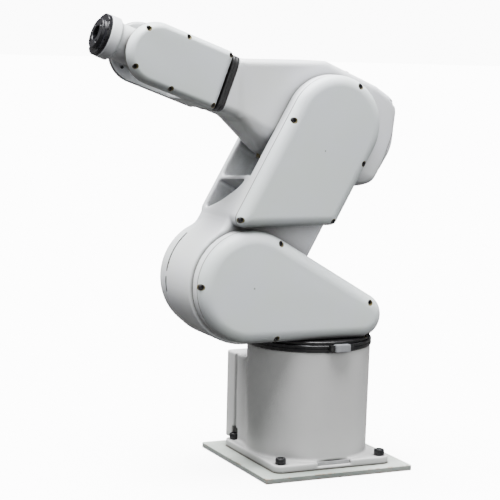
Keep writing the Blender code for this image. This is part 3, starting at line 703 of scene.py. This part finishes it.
def make_covers():
    places = [
        (0.1925, 0.260), (0.081, 0.3135), (-0.054, 0.2295), (0.084, 0.187), (-0.055, 0.184),
    ]
    dots = [(SHOULDER_X, SHOULDER_Z)]
    make_cover(
        "shoulder_cover", "turret", shoulder_pegs, SHOULDER_SEAM, COVER_FACE, 0.018, 0.0042,
        places, dots,
    )
    places = [
        (-0.003, 0.3035), (-0.060, 0.2175), (0.060, 0.217), (0.0605, 0.069), (-0.060, 0.130),
    ]
    make_cover(
        "lower_arm_cover", "lower_arm", long_pegs, ELBOW_SEAM, COVER_FACE, 0.015, 0.0042,
        places, [(0.001, 0.204)],
    )
    places = [
        (0.024, 0.0255), (0.024, -0.0255), (-0.031, 0.0352), (-0.031, -0.0352),
        (-0.0945, 0.0345), (-0.0945, -0.0345),
    ]
    for node, side in (("wrist_cover_near", 1), ("wrist_cover_far", -1)):
        make_cover(
            node, "wrist_unit", wrist_pegs, side * WRIST_SEAM, side * WRIST_FACE, 0.009, 0.0036,
            places, [],
        )


# Base


def base_field(x, y, z):
    low, top = 0.0078, 0.0178
    flange = prism(rectangle(x, y, (-0.087, -0.087), (0.087, 0.087), 0.012), z, low, top, 0.0012)
    radius = 0.083 + 0.002 * (z - low) / (0.167 - low)
    column = rounded_and(np.hypot(x, y) - radius, between(z, low, 0.167), 0.0015)
    housing = rectangle(x, y, (-0.107, -0.075), (-0.030, 0.075), 0.003)
    housing = prism(housing, z, top - 0.002, 0.1405, 0.0025)
    solid = rounded_or(column, housing, 0.003)
    solid = rounded_or(flange, solid, 0.0035)
    bore = prism(np.hypot(x, y) - 0.070, z, 0.030, 0.20, 0.001)
    room = rectangle(x, y, (-0.120, -0.066), (-0.050, 0.066), 0.004)
    room = prism(room, z, 0.030, 0.131, 0.001)
    notch = rectangle(x, y, (0.081, -0.025), (0.1, 0.025), 0.001)
    notch = prism(notch, z, top - 0.005, top + 0.0012, 0.0005)
    solid = rounded_cut(solid, either(bore, room), 0.001)
    solid = rounded_cut(solid, notch, 0.0006)
    bolt = np.hypot(np.abs(x) - 0.075, np.abs(y) - 0.075)
    seat = prism(bolt - 0.0095, z, top - 0.0004, 0.034, 0.0006)
    hole = bolt - 0.0043
    return rounded_cut(rounded_cut(solid, seat, 0.0008), hole, 0.0005)


def make_plate():
    """The mounting plate, with a small chamfer round both faces."""
    low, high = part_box("mounting_plate")
    corner, chamfer = 0.002, 0.0008
    outline = rounded([
        (high.x - corner, low.y + corner, corner), (high.x - corner, high.y - corner, corner),
        (low.x + corner, high.y - corner, corner), (low.x + corner, low.y + corner, corner),
    ], math.radians(30))
    centre = (low + high) / 2
    rings = []
    for inset, z in (
        (chamfer, low.z), (0, low.z + chamfer), (0, high.z - chamfer), (chamfer, high.z),
    ):
        shrink = 1 - inset / 0.11
        rings.append([
            Vector((centre.x + (x - centre.x) * shrink, centre.y + (y - centre.y) * shrink, z))
            for x, y in outline
        ])
    place(mesh_object("plate_body", skin(rings)), "base", "plate_paint", ["mounting_plate"])


def make_bolts():
    """The four socket screws that hold the base on the plate."""
    for number in range(1, 5):
        node = f"base_bolt_{number}"
        low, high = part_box(node)
        radius = (high.x - low.x) / 2
        seat = high.z - 0.008
        head = [
            (0, low.z), (0.004, low.z), (0.004, seat), (radius, seat), (radius, high.z - 0.0012),
            (radius - 0.0012, high.z), (0.0037, high.z), (0.0037, seat + 0.0035), (0, seat + 0.003),
        ]
        centre = ((low.x + high.x) / 2, (low.y + high.y) / 2, 0)
        bolt = turned(softened(head, 0.0005, 2), "Z", centre, 72, 24, 0.0004)
        place(mesh_object(node + "_screw", bolt), "base", "black_steel", [node])


def make_base():
    body = cast("base_body", base_field, (-0.107, -0.087, 0.0078), (0.087, 0.087, 0.167))
    place(body, "base", "base_paint", ["base_casting"])
    make_plate()
    make_bolts()
    ring = [
        (0.0565, 0.1674), (0.0858, 0.1674), (0.0865, 0.1681), (0.0865, 0.1712), (0.0852, 0.1716),
        (0.0852, 0.1722), (0.0865, 0.1726), (0.0865, 0.1756), (0.0859, 0.1762), (0.0565, 0.1762),
    ]
    ring = mesh_object("turret_ring", turned(ring, "Z", segments=96))
    place(ring, "base", "black_steel", ["turret_bearing"])
    make_stop()
    make_flange_seams()
    make_panel()


def box_piece(low, high, edge=0.0004):
    """A box with chamfered edges."""
    made = bmesh.new()
    bmesh.ops.create_cube(made, size=1)
    middle, size = (Vector(low) + Vector(high)) / 2, Vector(high) - Vector(low)
    made.transform(Matrix.Translation(middle) @ Matrix.Diagonal((*size, 1)))
    bmesh.ops.bevel(made, geom=made.edges[:], offset=edge, segments=2, affect="EDGES")
    return made


def make_stop():
    """The turret's stop block on the ring, between two black brackets."""
    low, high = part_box("turret_stop")
    block = mesh_object("stop_block", box_piece(low, high, 0.0008))
    place(block, "base", "aluminium", ["turret_stop"], material=STOP_GREY)
    brackets = [
        box_piece((0.0868, low.y - 0.0065, 0.1690), (0.0930, low.y - 0.0003, 0.1772)),
        box_piece((0.0868, high.y + 0.0003, 0.1688), (0.0925, high.y + 0.0045, 0.1778)),
        box_piece((0.0868, high.y + 0.0050, 0.1695), (0.0900, high.y + 0.0080, 0.1750)),
    ]
    brackets = mesh_object("stop_brackets", merged(brackets))
    place(brackets, "base", "black_steel")


def make_flange_seams():
    """The brown joint under the flange, and a grey pad at the back of the flange's notch that paints its shade."""
    outline = rounded([
        (0.0754, -0.0754, 0.0120), (0.0754, 0.0754, 0.0120),
        (-0.0754, 0.0754, 0.0120), (-0.0754, -0.0754, 0.0120),
    ])
    inside = [(x * 0.97, y * 0.97) for x, y in outline]
    low, high = 0.00755, 0.00785
    rings = [
        [Vector((x, y, z)) for x, y in line]
        for line, z in ((outline, low), (outline, high), (inside, high), (inside, low))
    ]
    joint = mesh_object("flange_joint", skin(rings, closed=True))
    place(joint, "base", "black_rubber", material=JOINT_BROWN)
    # Painted shade: a grey pad set against the back of the notch, where there is only shadow.
    pad = mesh_object("notch_shade_pad", box_piece((0.0812, -0.0245, 0.0130), (0.0842, 0.0245, 0.0175)))
    place(pad, "base", "black_rubber", material=SHADOW_GREY)


def connector_profile(tip, deep, panel_face, radius, barrel, threads):
    """A connector along X from its deep end to its tip, with a collar, threads and a mouth."""
    collar = panel_face - 0.0030
    start = panel_face - 0.0034
    profile = [(0, deep), (barrel, deep), (barrel, panel_face - 0.0002)]
    profile += [(radius, panel_face - 0.0002), (radius, collar), (barrel, collar)]
    for turn in range(threads):
        step = (start - (tip + 0.0008)) / threads
        top = start - step * turn
        root = barrel - 0.0005
        profile += [(barrel, top), (root, top - step * 0.3), (root, top - step * 0.6)]
        profile.append((barrel, top - step * 0.9))
    floor = tip + 0.009
    profile += [(barrel * 0.96, tip), (barrel * 0.76, tip), (barrel * 0.74, floor)]
    return profile + [(0, floor)]


def make_panel():
    """The connector panel with its screws, and the connectors' shells and pins."""
    low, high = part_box("connector_panel")
    panel = mesh_object("panel_plate", box_piece(low, high, 0.0008))
    cutters, pins = [], []
    for node, threads in (
        ("power_connector", 5), ("signal_connector", 5), ("air_inlet_1", 0), ("air_inlet_2", 0),
    ):
        inner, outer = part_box(node)
        radius = (outer.y - inner.y) / 2
        y, z = (inner.y + outer.y) / 2, (inner.z + outer.z) / 2
        tip, barrel = inner.x, radius * 0.8
        hole = [(0, low.x - 0.01), (barrel + 0.0004, low.x - 0.01)]
        hole += [(barrel + 0.0004, high.x + 0.01), (0, high.x + 0.01)]
        cutters.append(turned(hole, "X", (0, y, z), 48))
        profile = connector_profile(tip, outer.x, low.x, radius, barrel, threads)
        shell = mesh_object(node + "_shell", turned(profile[::-1], "X", (0, y, z), 48))
        place(shell, "base", "motor" if threads else "brass", [node])
        foot = tip + 0.0092
        pin = [(0, tip + 0.003), (0.0007, tip + 0.0034), (0.0007, foot), (0, foot)]
        for ring, count in ((0.28, 4), (0.56, 9)):
            for i in range(count if threads else 0):
                angle = 2 * math.pi * i / count
                u, v = y + barrel * ring * math.cos(angle), z + barrel * ring * math.sin(angle)
                pins.append(turned(pin, "X", (0, u, v), 8))
    cut_away(panel, merged(cutters))
    place(panel, "base", "aluminium", ["connector_panel"])
    place(mesh_object("connector_pins", merged(pins)), "base", "brass")
    corners = [(low.x, y, z) for y in (-0.060, 0.0, 0.060) for z in (0.0360, 0.1250)]
    screws("panel_screws", "base", corners, (-1, 0, 0), 0.0026, 0.0022)


# Turret


def turret_field(x, y, z):
    body = prism(hull(shoulder_pegs(0.004), x, z), y, -0.058, 0.0475, 0.004)
    foot = prism(np.hypot(x, y) - 0.078, z, 0.1767, 0.1805, 0.001)
    neck = prism(np.hypot(x, y) - 0.058, z, 0.1767, 0.205, 0.002)
    spigot = prism(np.hypot(x, y) - 0.0555, z, 0.160, 0.180, 0.001)
    body = rounded_or(body, neck, 0.010)
    body = either(body, foot, spigot)
    drum = disc(x, z, (SHOULDER_X, SHOULDER_Z), 0.0825)
    lean = math.radians(-60)
    along_it = (x - SHOULDER_X) * math.sin(lean) + (z - SHOULDER_Z) * math.cos(lean)
    behind = -(x - SHOULDER_X) * math.cos(lean) + (z - SHOULDER_Z) * math.sin(lean)
    reach = np.maximum(-along_it, behind - 0.079)
    room = np.maximum(either(drum, reach), y - 0.045)
    body = rounded_cut(body, room, 0.0015)
    cheek = prism(hull(shoulder_pegs(0), x, z), y, 0.0445, SHOULDER_SEAM, 0.0012)
    body = rounded_or(body, cheek, 0.002)
    motor_axis = (-0.038, 0.2125)
    motor = prism(disc(x, z, motor_axis, 0.0218), y, -0.1, 0.0455, 0.0005)
    shaft = disc(x, z, motor_axis, 0.0115)
    hub = disc(x, z, (SHOULDER_X, SHOULDER_Z), 0.0155)
    hollow = np.maximum(np.hypot(x, y) - 0.012, z - 0.3)
    return rounded_cut(body, either(motor, shaft, hub, hollow), 0.0008)


def make_turret():
    body = cast("turret_body", turret_field, (-0.078, -0.085, 0.160), (0.197, 0.085, 0.334))
    place(body, "turret", "arm_paint", ["turret_casting"])
    skirt = [
        (0.0785, 0.1768), (0.0830, 0.1768), (0.0836, 0.1775), (0.0836, 0.1800), (0.0826, 0.1809),
        (0.0600, 0.1809), (0.0600, 0.1806), (0.0785, 0.1804),
    ]
    skirt = mesh_object("turret_skirt", turned(skirt, "Z", segments=96))
    place(skirt, "turret", "black_steel")
    under = [(-0.056, 0.0520, 0.1838), (-0.066, 0.0500, 0.1900)]
    screws("turret_rear_screws", "turret", under, (-0.45, 0, -0.9), 0.0028, 0.0050)


# Lower arm


SLOT_MIDDLE = math.radians(-9.5)
SLOT_HALF = math.radians(31.5)


def arc_strip(start, end, low, high):
    """A strip round the Y axis between two angles, low and high being (radius, y)."""
    rings = []
    for angle in np.linspace(start, end, 24):
        way = Vector((math.cos(angle), 0, math.sin(angle)))
        rings.append([
            way * low[0] + Vector((0, low[1], 0)), way * high[0] + Vector((0, low[1], 0)),
            way * high[0] + Vector((0, high[1], 0)), way * low[0] + Vector((0, high[1], 0)),
        ])
    return skin(rings)


def lower_arm_field(x, y, z):
    around = np.hypot(x, z)
    elbow = disc(x, z, (0, ARM_LENGTH), 0.1285)
    web = hull([(0, 0, 0.0652), (0, ARM_LENGTH, 0.0650)], x, z)
    soft = np.clip((0.074 - z) / 0.008, 0, 1)
    web = web + 0.0012 * soft
    drum = around - np.where(y < -0.0354, 0.0775, 0.080)
    share = np.clip((web - drum) / 0.006 + 0.5, 0, 1)
    edge = 0.0015 * share + (0.004 + 0.005 * soft) * (1 - share)
    solid = rounded_and(rounded_or(web, drum, 0.008), between(y, LINK_FAR, LINK_NEAR), edge)
    swing = rounded_and(elbow, between(y, FORK_FAR, 0.1), 0.003)
    solid = rounded_cut(solid, swing, 0.004)
    pad = prism(hull(long_pegs(0), x, z), y, FORK_NEAR, ELBOW_SEAM, 0.0012)
    solid = rounded_or(solid, pad, 0.003)
    pocket_near = 0.031
    across_it = (y - FORK_FAR) / (pocket_near - FORK_FAR)
    sag = 0.35 * across_it + 0.65 * across_it ** 2
    for low, high in (
        (0.1225 + 0.0075 * across_it, 0.170), (0.0735 + 0.0440 * sag, 0.1165 + 0.0075 * across_it),
    ):
        upright = rounded_and((low - z) * 0.87, z - high, 0.004)
        pocket = rounded_and(upright, between(y, FORK_FAR, pocket_near), 0.006)
        pocket = np.maximum(pocket, between(x, -0.046, 0.12))
        solid = rounded_cut(solid, pocket, 0.0022)
    slot = np.abs(np.arctan2(z, x) - SLOT_MIDDLE) - SLOT_HALF
    groove = np.maximum(0.0745 - around, between(y, -0.0372, -0.0340))
    solid = np.maximum(solid, -np.maximum(groove, slot * 0.08))
    input_shaft = around - 0.020
    reducer = prism(around - 0.0475, y, -0.008, 0.1, 0.0005)
    room = prism(around - 0.0655, y, -0.1, -0.0155, 0.003)
    motor_axis = (0.036, 0.088)
    motor = prism(disc(x, z, motor_axis, 0.0158), y, 0.009, 0.048, 0.0005)
    motor_shaft = disc(x, z, motor_axis, 0.0095)
    hub = np.maximum(disc(x, z, (0, ARM_LENGTH), 0.0155), -y)
    pin = np.maximum(disc(x, z, (0, ARM_LENGTH), 0.0125), y)
    holes = either(input_shaft, room, motor_shaft, reducer, motor, hub, pin)
    return rounded_cut(solid, holes, 0.0008)


def make_lower_arm():
    body = cast("lower_arm_body", lower_arm_field, (-0.081, -0.057, -0.081), (0.081, 0.062, 0.312))
    place(body, "lower_arm", "arm_paint", ["lower_arm_casting"])
    # Painted shade: black strips fill the slot in the drum to make it read dark.
    strips = []
    for start, end in ((-41, -26), (-21, 22)):
        start, end = math.radians(start), math.radians(end)
        strips.append(arc_strip(start, end, (0.0750, -0.0357), (0.0804, -0.0340)))
    place(mesh_object("drum_slot_shade", merged(strips)), "lower_arm", "black_rubber")
    low = LINK_FAR - GAP
    cap = [
        (0, -0.0780), (0.050, -0.0780), (0.063, -0.0770), (0.0715, -0.0735), (0.0755, -0.0680),
        (0.0765, -0.0630), (0.0765, low), (0.0725, low), (0.0720, -0.0640), (0.0680, -0.0700),
        (0.060, -0.0745), (0, -0.0750),
    ]
    cap = mesh_object("shoulder_cap_shell", turned(softened(cap, 0.004, 4), "Y", segments=96))
    seats = [(0.062 * math.cos(a), 0.062 * math.sin(a)) for a in np.arange(6) * math.pi / 3 + 0.4]
    pits = []
    for x, z in seats:
        pit = [(0, -0.0735), (0.0036, -0.0735), (0.0036, -0.09), (0, -0.09)]
        pits.append(turned(pit[::-1], "Y", (x, 0, z), 24))
    cut_away(cap, merged(pits))
    place(cap, "lower_arm", "arm_paint", ["shoulder_cap"])
    seats = [(x, -0.0736, z) for x, z in seats]
    screws("shoulder_cap_screws", "lower_arm", seats, (0, -1, 0), 0.0029, 0.0030)


# Upper arm

ELBOW_PEGS = [
    (0.119, -0.0325, 0.005), (0.143, 0.0320, 0.005), (0.030, 0.0655, 0.012),
    (-0.050, 0.0535, 0.020), (-0.069, 0.0420, 0.027), (-0.045, 0.0020, 0.060),
    (-0.070, -0.0360, 0.028), (-0.050, -0.0520, 0.020), (0.030, -0.0650, 0.012),
    (0.066, -0.0545, 0.012),
]
PARTING = -0.098


def elbow_shape(x, y, z):
    """The elbow casting and its rear lid as one body, before they are parted."""
    body = hull(ELBOW_PEGS, x, z)
    body = rounded_and(body, between(y, -ELBOW_SIDE, ELBOW_SIDE), 0.008)
    crease = np.interp(x, (-0.20, 0.074, 0.20), (-0.0573, -0.0421, -0.0270))
    bevel = (np.abs(y) - ELBOW_SIDE + crease - z) * math.sqrt(0.5)
    body = rounded_and(body, bevel, 0.008)
    front = rectangle(y, z, (-0.0392, -0.037), (0.0392, 0.037), 0.012)
    front = prism(front, x, 0.090, 0.148, 0.001)
    return rounded_or(body, front, 0.004)


def elbow_field(x, y, z):
    body = rounded_and(elbow_shape(x, y, z), PARTING - x, 0.0005)
    room = rectangle(y, z, (-0.0365, -0.0365), (0.0365, 0.0365), 0.006)
    room = np.maximum(room, between(x, -0.2, -0.032))
    seat = np.maximum(np.hypot(x, z) - 0.0443, 0.0250 - y)
    pin = np.maximum(np.hypot(x, z) - 0.0123, y + 0.0255)
    shaft = np.maximum(np.hypot(y, z) - 0.0095, -0.04 - x)
    hub = np.maximum(np.hypot(x, z) - 0.011, -y)
    plug = np.maximum(np.hypot(x - 0.060, y) - 0.0045, z + 0.0665)
    pocket = np.maximum(np.hypot(y - 0.038, z - 0.060) - 0.0032, x + 0.070)
    return rounded_cut(body, either(seat, pin, room, shaft, hub, plug, pocket), 0.0006)


LID_SEATS = [(y, z) for y in (-0.026, 0.026) for z in (-0.022, 0.022)]


def lid_field(x, y, z):
    body = rounded_and(elbow_shape(x, y, z), x - (PARTING - GAP), 0.0005)
    room = rectangle(y, z, (-0.029, -0.029), (0.029, 0.029), 0.006)
    room = np.maximum(room, between(x, -0.0992, 0))
    pits = np.hypot(np.abs(y) - LID_SEATS[-1][0], np.abs(z) - LID_SEATS[-1][1]) - 0.0036
    pits = np.maximum(pits, x + 0.1002)
    return rounded_cut(body, either(room, pits), 0.0005)


def make_upper_arm():
    body = cast("elbow_body", elbow_field, (-0.098, -0.043, -0.080), (0.148, 0.043, 0.080))
    place(body, "upper_arm", "arm_paint", ["elbow_casting"])
    lid = cast("elbow_lid", lid_field, (-0.108, -0.043, -0.062), (-0.098, 0.043, 0.062), 0.0013)
    place(lid, "upper_arm", "arm_paint", ["elbow_rear_cover"])
    seats = [(-0.1001, y, z) for y, z in LID_SEATS]
    screws("elbow_lid_screws", "upper_arm", seats, (-1, 0, 0), 0.0029, 0.0030)
    seats = [(-0.0701, 0.038, 0.060)]
    screws("elbow_top_screw", "upper_arm", seats, (-1, 0, 0), 0.0026, 0.004)
    plug = [
        (0, -0.0725), (0.0030, -0.0725), (0.0040, -0.0715), (0.0041, -0.0668), (0, -0.0668),
    ]
    plug = mesh_object("elbow_plug", turned(softened(plug, 0.0004, 2), "Z", (0.060, 0, 0), 32))
    place(plug, "upper_arm", "black_rubber", material=POCKET)
    band = cast("seal_band", seal_field, (0.148, -0.0385, -0.0385), (0.158, 0.0385, 0.0385), 0.0012)
    place(band, "upper_arm", "black_rubber", ["forearm_seal"])
    fitting = [
        (0, 0.0655), (0.0046, 0.0655), (0.0046, 0.0785), (0.0040, 0.0790), (0.0038, 0.0802),
        (0.0030, 0.0808), (0.0014, 0.0808), (0.0012, 0.0795), (0, 0.0795),
    ]
    for node, x in (("air_fitting_1", -0.022), ("air_fitting_2", -0.046)):
        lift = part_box(node)[1].z - (UPPER @ Vector((x, 0, 0.0808))).z
        made = turned(softened(fitting, 0.0005, 2), "Z", (x, 0, lift), 48, 6, 0.0005)
        place(mesh_object(node + "_shell", made), "upper_arm", "brass", [node], material=COPPER)


def seal_field(x, y, z):
    band = rectangle(y, z, (-0.0380, -0.0380), (0.0380, 0.0380), 0.010)
    band = rounded_and(band, between(x, 0.1484, 0.1578), 0.0012)
    waist = rectangle(y, z, (-0.0372, -0.0372), (0.0372, 0.0372), 0.010)
    line = np.maximum(between(x, 0.1528, 0.1536), -waist)
    return np.maximum(np.maximum(band, -line), 0.0097 - np.hypot(y, z))


# Wrist


def wrist_neck_field(x, y, z):
    around = np.hypot(y, z)
    radius = np.interp(x, (0.043, 0.0465, 0.0505), (0.0240, 0.0247, 0.0285))
    neck = rounded_and(around - radius, between(x, -0.002, 0.0635), 0.0012)
    groove = np.maximum(0.0238 - around, between(x, 0.0474, 0.0482))
    neck = np.maximum(neck, -groove)
    hub = rounded_and(np.hypot(x, z) - 0.0235, between(y, -0.0262, 0.0262), 0.0015)
    return rounded_or(neck, hub, 0.005)


def wrist_housing_field(x, y, z):
    outline = hull([(-0.094, 0.0339, 0.006), (-0.094, -0.0339, 0.006), (0, 0, 0.0399)], x, z)
    body = prism(outline, y, -WRIST_SEAM, WRIST_SEAM, 0.0012)
    seam = np.maximum(between(np.abs(y), 0.0266, 0.0274), -0.0009 - outline)
    body = np.maximum(body, -seam)
    slot = rounded_and(between(y, -0.0265, 0.0265), -0.059 - x, 0.004)
    body = rounded_cut(body, slot, 0.001)
    near = np.maximum(disc(x, z, (-0.0795, 0.0195), 0.0173), -0.027 - y)
    far = np.maximum(disc(x, z, (-0.0795, -0.0195), 0.0173), y - 0.027)
    axle = np.hypot(x, z) - 0.009
    return rounded_cut(body, either(near, far, axle), 0.0005)


def make_flange():
    """The tool flange: a disc with a stepped and notched rim, a boss, a bore and four holes."""
    profile = [
        (0.0097, 0.0642), (0.0276, 0.0642), (0.0280, 0.0647), (0.0280, 0.0660), (0.0272, 0.0663),
        (0.0272, 0.0669), (0.0280, 0.0672), (0.0280, 0.0690), (0.0275, 0.0695), (0.0203, 0.0695),
        (0.0200, 0.0700), (0.0200, 0.0735), (0.0195, 0.0740), (0.0102, 0.0740), (0.0097, 0.0735),
    ]
    flange = mesh_object("flange_disc", turned(profile, "X", segments=96))
    cutters = []
    for i in range(12):
        angle = math.pi / 6 * i + 0.2
        y, z = 0.0285 * math.cos(angle), 0.0285 * math.sin(angle)
        notch = [(0, 0.0684), (0.0022, 0.0684), (0.0022, 0.08), (0, 0.08)]
        cutters.append(turned(notch, "X", (0, y, z), 16))
    for i in range(4):
        angle = math.pi / 2 * i + math.pi / 4
        y, z = 0.01575 * math.cos(angle), 0.01575 * math.sin(angle)
        hole = [(0, 0.0690), (0.0021, 0.0690), (0.0021, 0.0735), (0.0026, 0.0741), (0.0026, 0.08)]
        cutters.append(turned(hole + [(0, 0.08)], "X", (0, y, z), 24))
    cut_away(flange, merged(cutters))
    place(flange, "flange", "black_steel", ["tool_flange"], material=FLANGE_BLACK)


def make_wrist():
    box = (-0.100, -0.030, -0.0405), (0.0405, 0.030, 0.0405)
    body = cast("wrist_body", wrist_housing_field, *box, 0.0017)
    place(body, "wrist_unit", "arm_paint", ["wrist_housing"])
    box = (-0.024, -0.0285, -0.0285), (0.0635, 0.0285, 0.0285)
    neck = cast("wrist_neck_body", wrist_neck_field, *box, 0.0012)
    place(neck, "wrist", "arm_paint", ["wrist_neck"])
    make_flange()
    screws("cheek_screw", "wrist_unit", [(0.016, -0.0264, -0.026)], (0, 1, 0), 0.0018, 0.0016)


# Surroundings


def make_floor():
    """A round white floor. To the camera it is white; to the arm it gives little light back."""
    profile = [(radius, -0.0002) for radius in (0, 0.5, 2.0, 8.0, 40.0)]
    floor = mesh_object("floor", turned(profile, "Z", segments=96))
    material, nodes, links = new_material("floor_white")
    tree = material.node_tree
    shader = nodes["Principled BSDF"]
    tone = ranged(tree, noise(tree, 3, 2), 0.3, 0.7, 0, 1)
    pale = mixed(tree, tone, (0.90, 0.90, 0.90), (0.88, 0.88, 0.88))
    seen = add_node(tree, "ShaderNodeLightPath").outputs["Is Camera Ray"]
    links.new(mixed(tree, seen, (0.05, 0.05, 0.05), pale), shader.inputs["Base Color"])
    shader.inputs["Roughness"].default_value = 0.9
    shader.inputs["Specular IOR Level"].default_value = 0.1
    shader.inputs["Emission Color"].default_value = (1, 1, 1, 1)
    links.new(ranged(tree, seen, 0, 1, 0, 7.0), shader.inputs["Emission Strength"])
    floor.data.materials.append(material)


def make_camera():
    right = Vector((0.4187, 0.9078, 0.0234))
    up = Vector((-0.1253, 0.0322, 0.9916))
    back = right.cross(up).normalized()
    up = back.cross(right).normalized()
    columns = (right.normalized(), up, back, Vector((2.0175, -1.0304, 0.5823)))
    camera = bpy.data.objects.new("camera", bpy.data.cameras.new("camera"))
    camera.data.lens = 119.66
    camera.data.sensor_width = 36
    camera.data.clip_end = 50
    camera.matrix_world = Matrix(
        [[column[i] for column in columns] for i in range(3)] + [[0, 0, 0, 1]]
    )
    bpy.context.scene.collection.objects.link(camera)
    bpy.context.scene.camera = camera


def add_sun(name, way, strength, softness, colour):
    """A soft distant light that shines along way."""
    light = bpy.data.lights.new(name, "SUN")
    light.angle = math.radians(softness)
    light.energy = strength
    light.color = colour
    obj = bpy.data.objects.new(name, light)
    obj.rotation_euler = Vector(way).to_track_quat("-Z", "Y").to_euler()
    bpy.context.scene.collection.objects.link(obj)


def make_lights():
    """A bright soft light overhead, a weak one from the side and a faint one all round, which is
    white to the camera."""
    world = bpy.data.worlds.new("studio")
    world.use_nodes = True
    tree = world.node_tree
    seen = add_node(tree, "ShaderNodeLightPath").outputs["Is Camera Ray"]
    background = tree.nodes["Background"]
    background.inputs["Color"].default_value = (1, 1, 1, 1)
    tree.links.new(ranged(tree, seen, 0, 1, 0.30, 11.0), background.inputs["Strength"])
    bpy.context.scene.world = world
    add_sun("overhead", (0.06, 0.10, -0.98), 20.0, 55, (1.0, 1.0, 1.0))
    add_sun("side_fill", (-0.90, -0.30, -0.30), 1.55, 60, (1.0, 1.0, 1.0))


finish_cad_nodes()
make_base()
make_turret()
make_covers()
make_lower_arm()
make_upper_arm()
make_wrist()
make_floor()
make_camera()
make_lights()
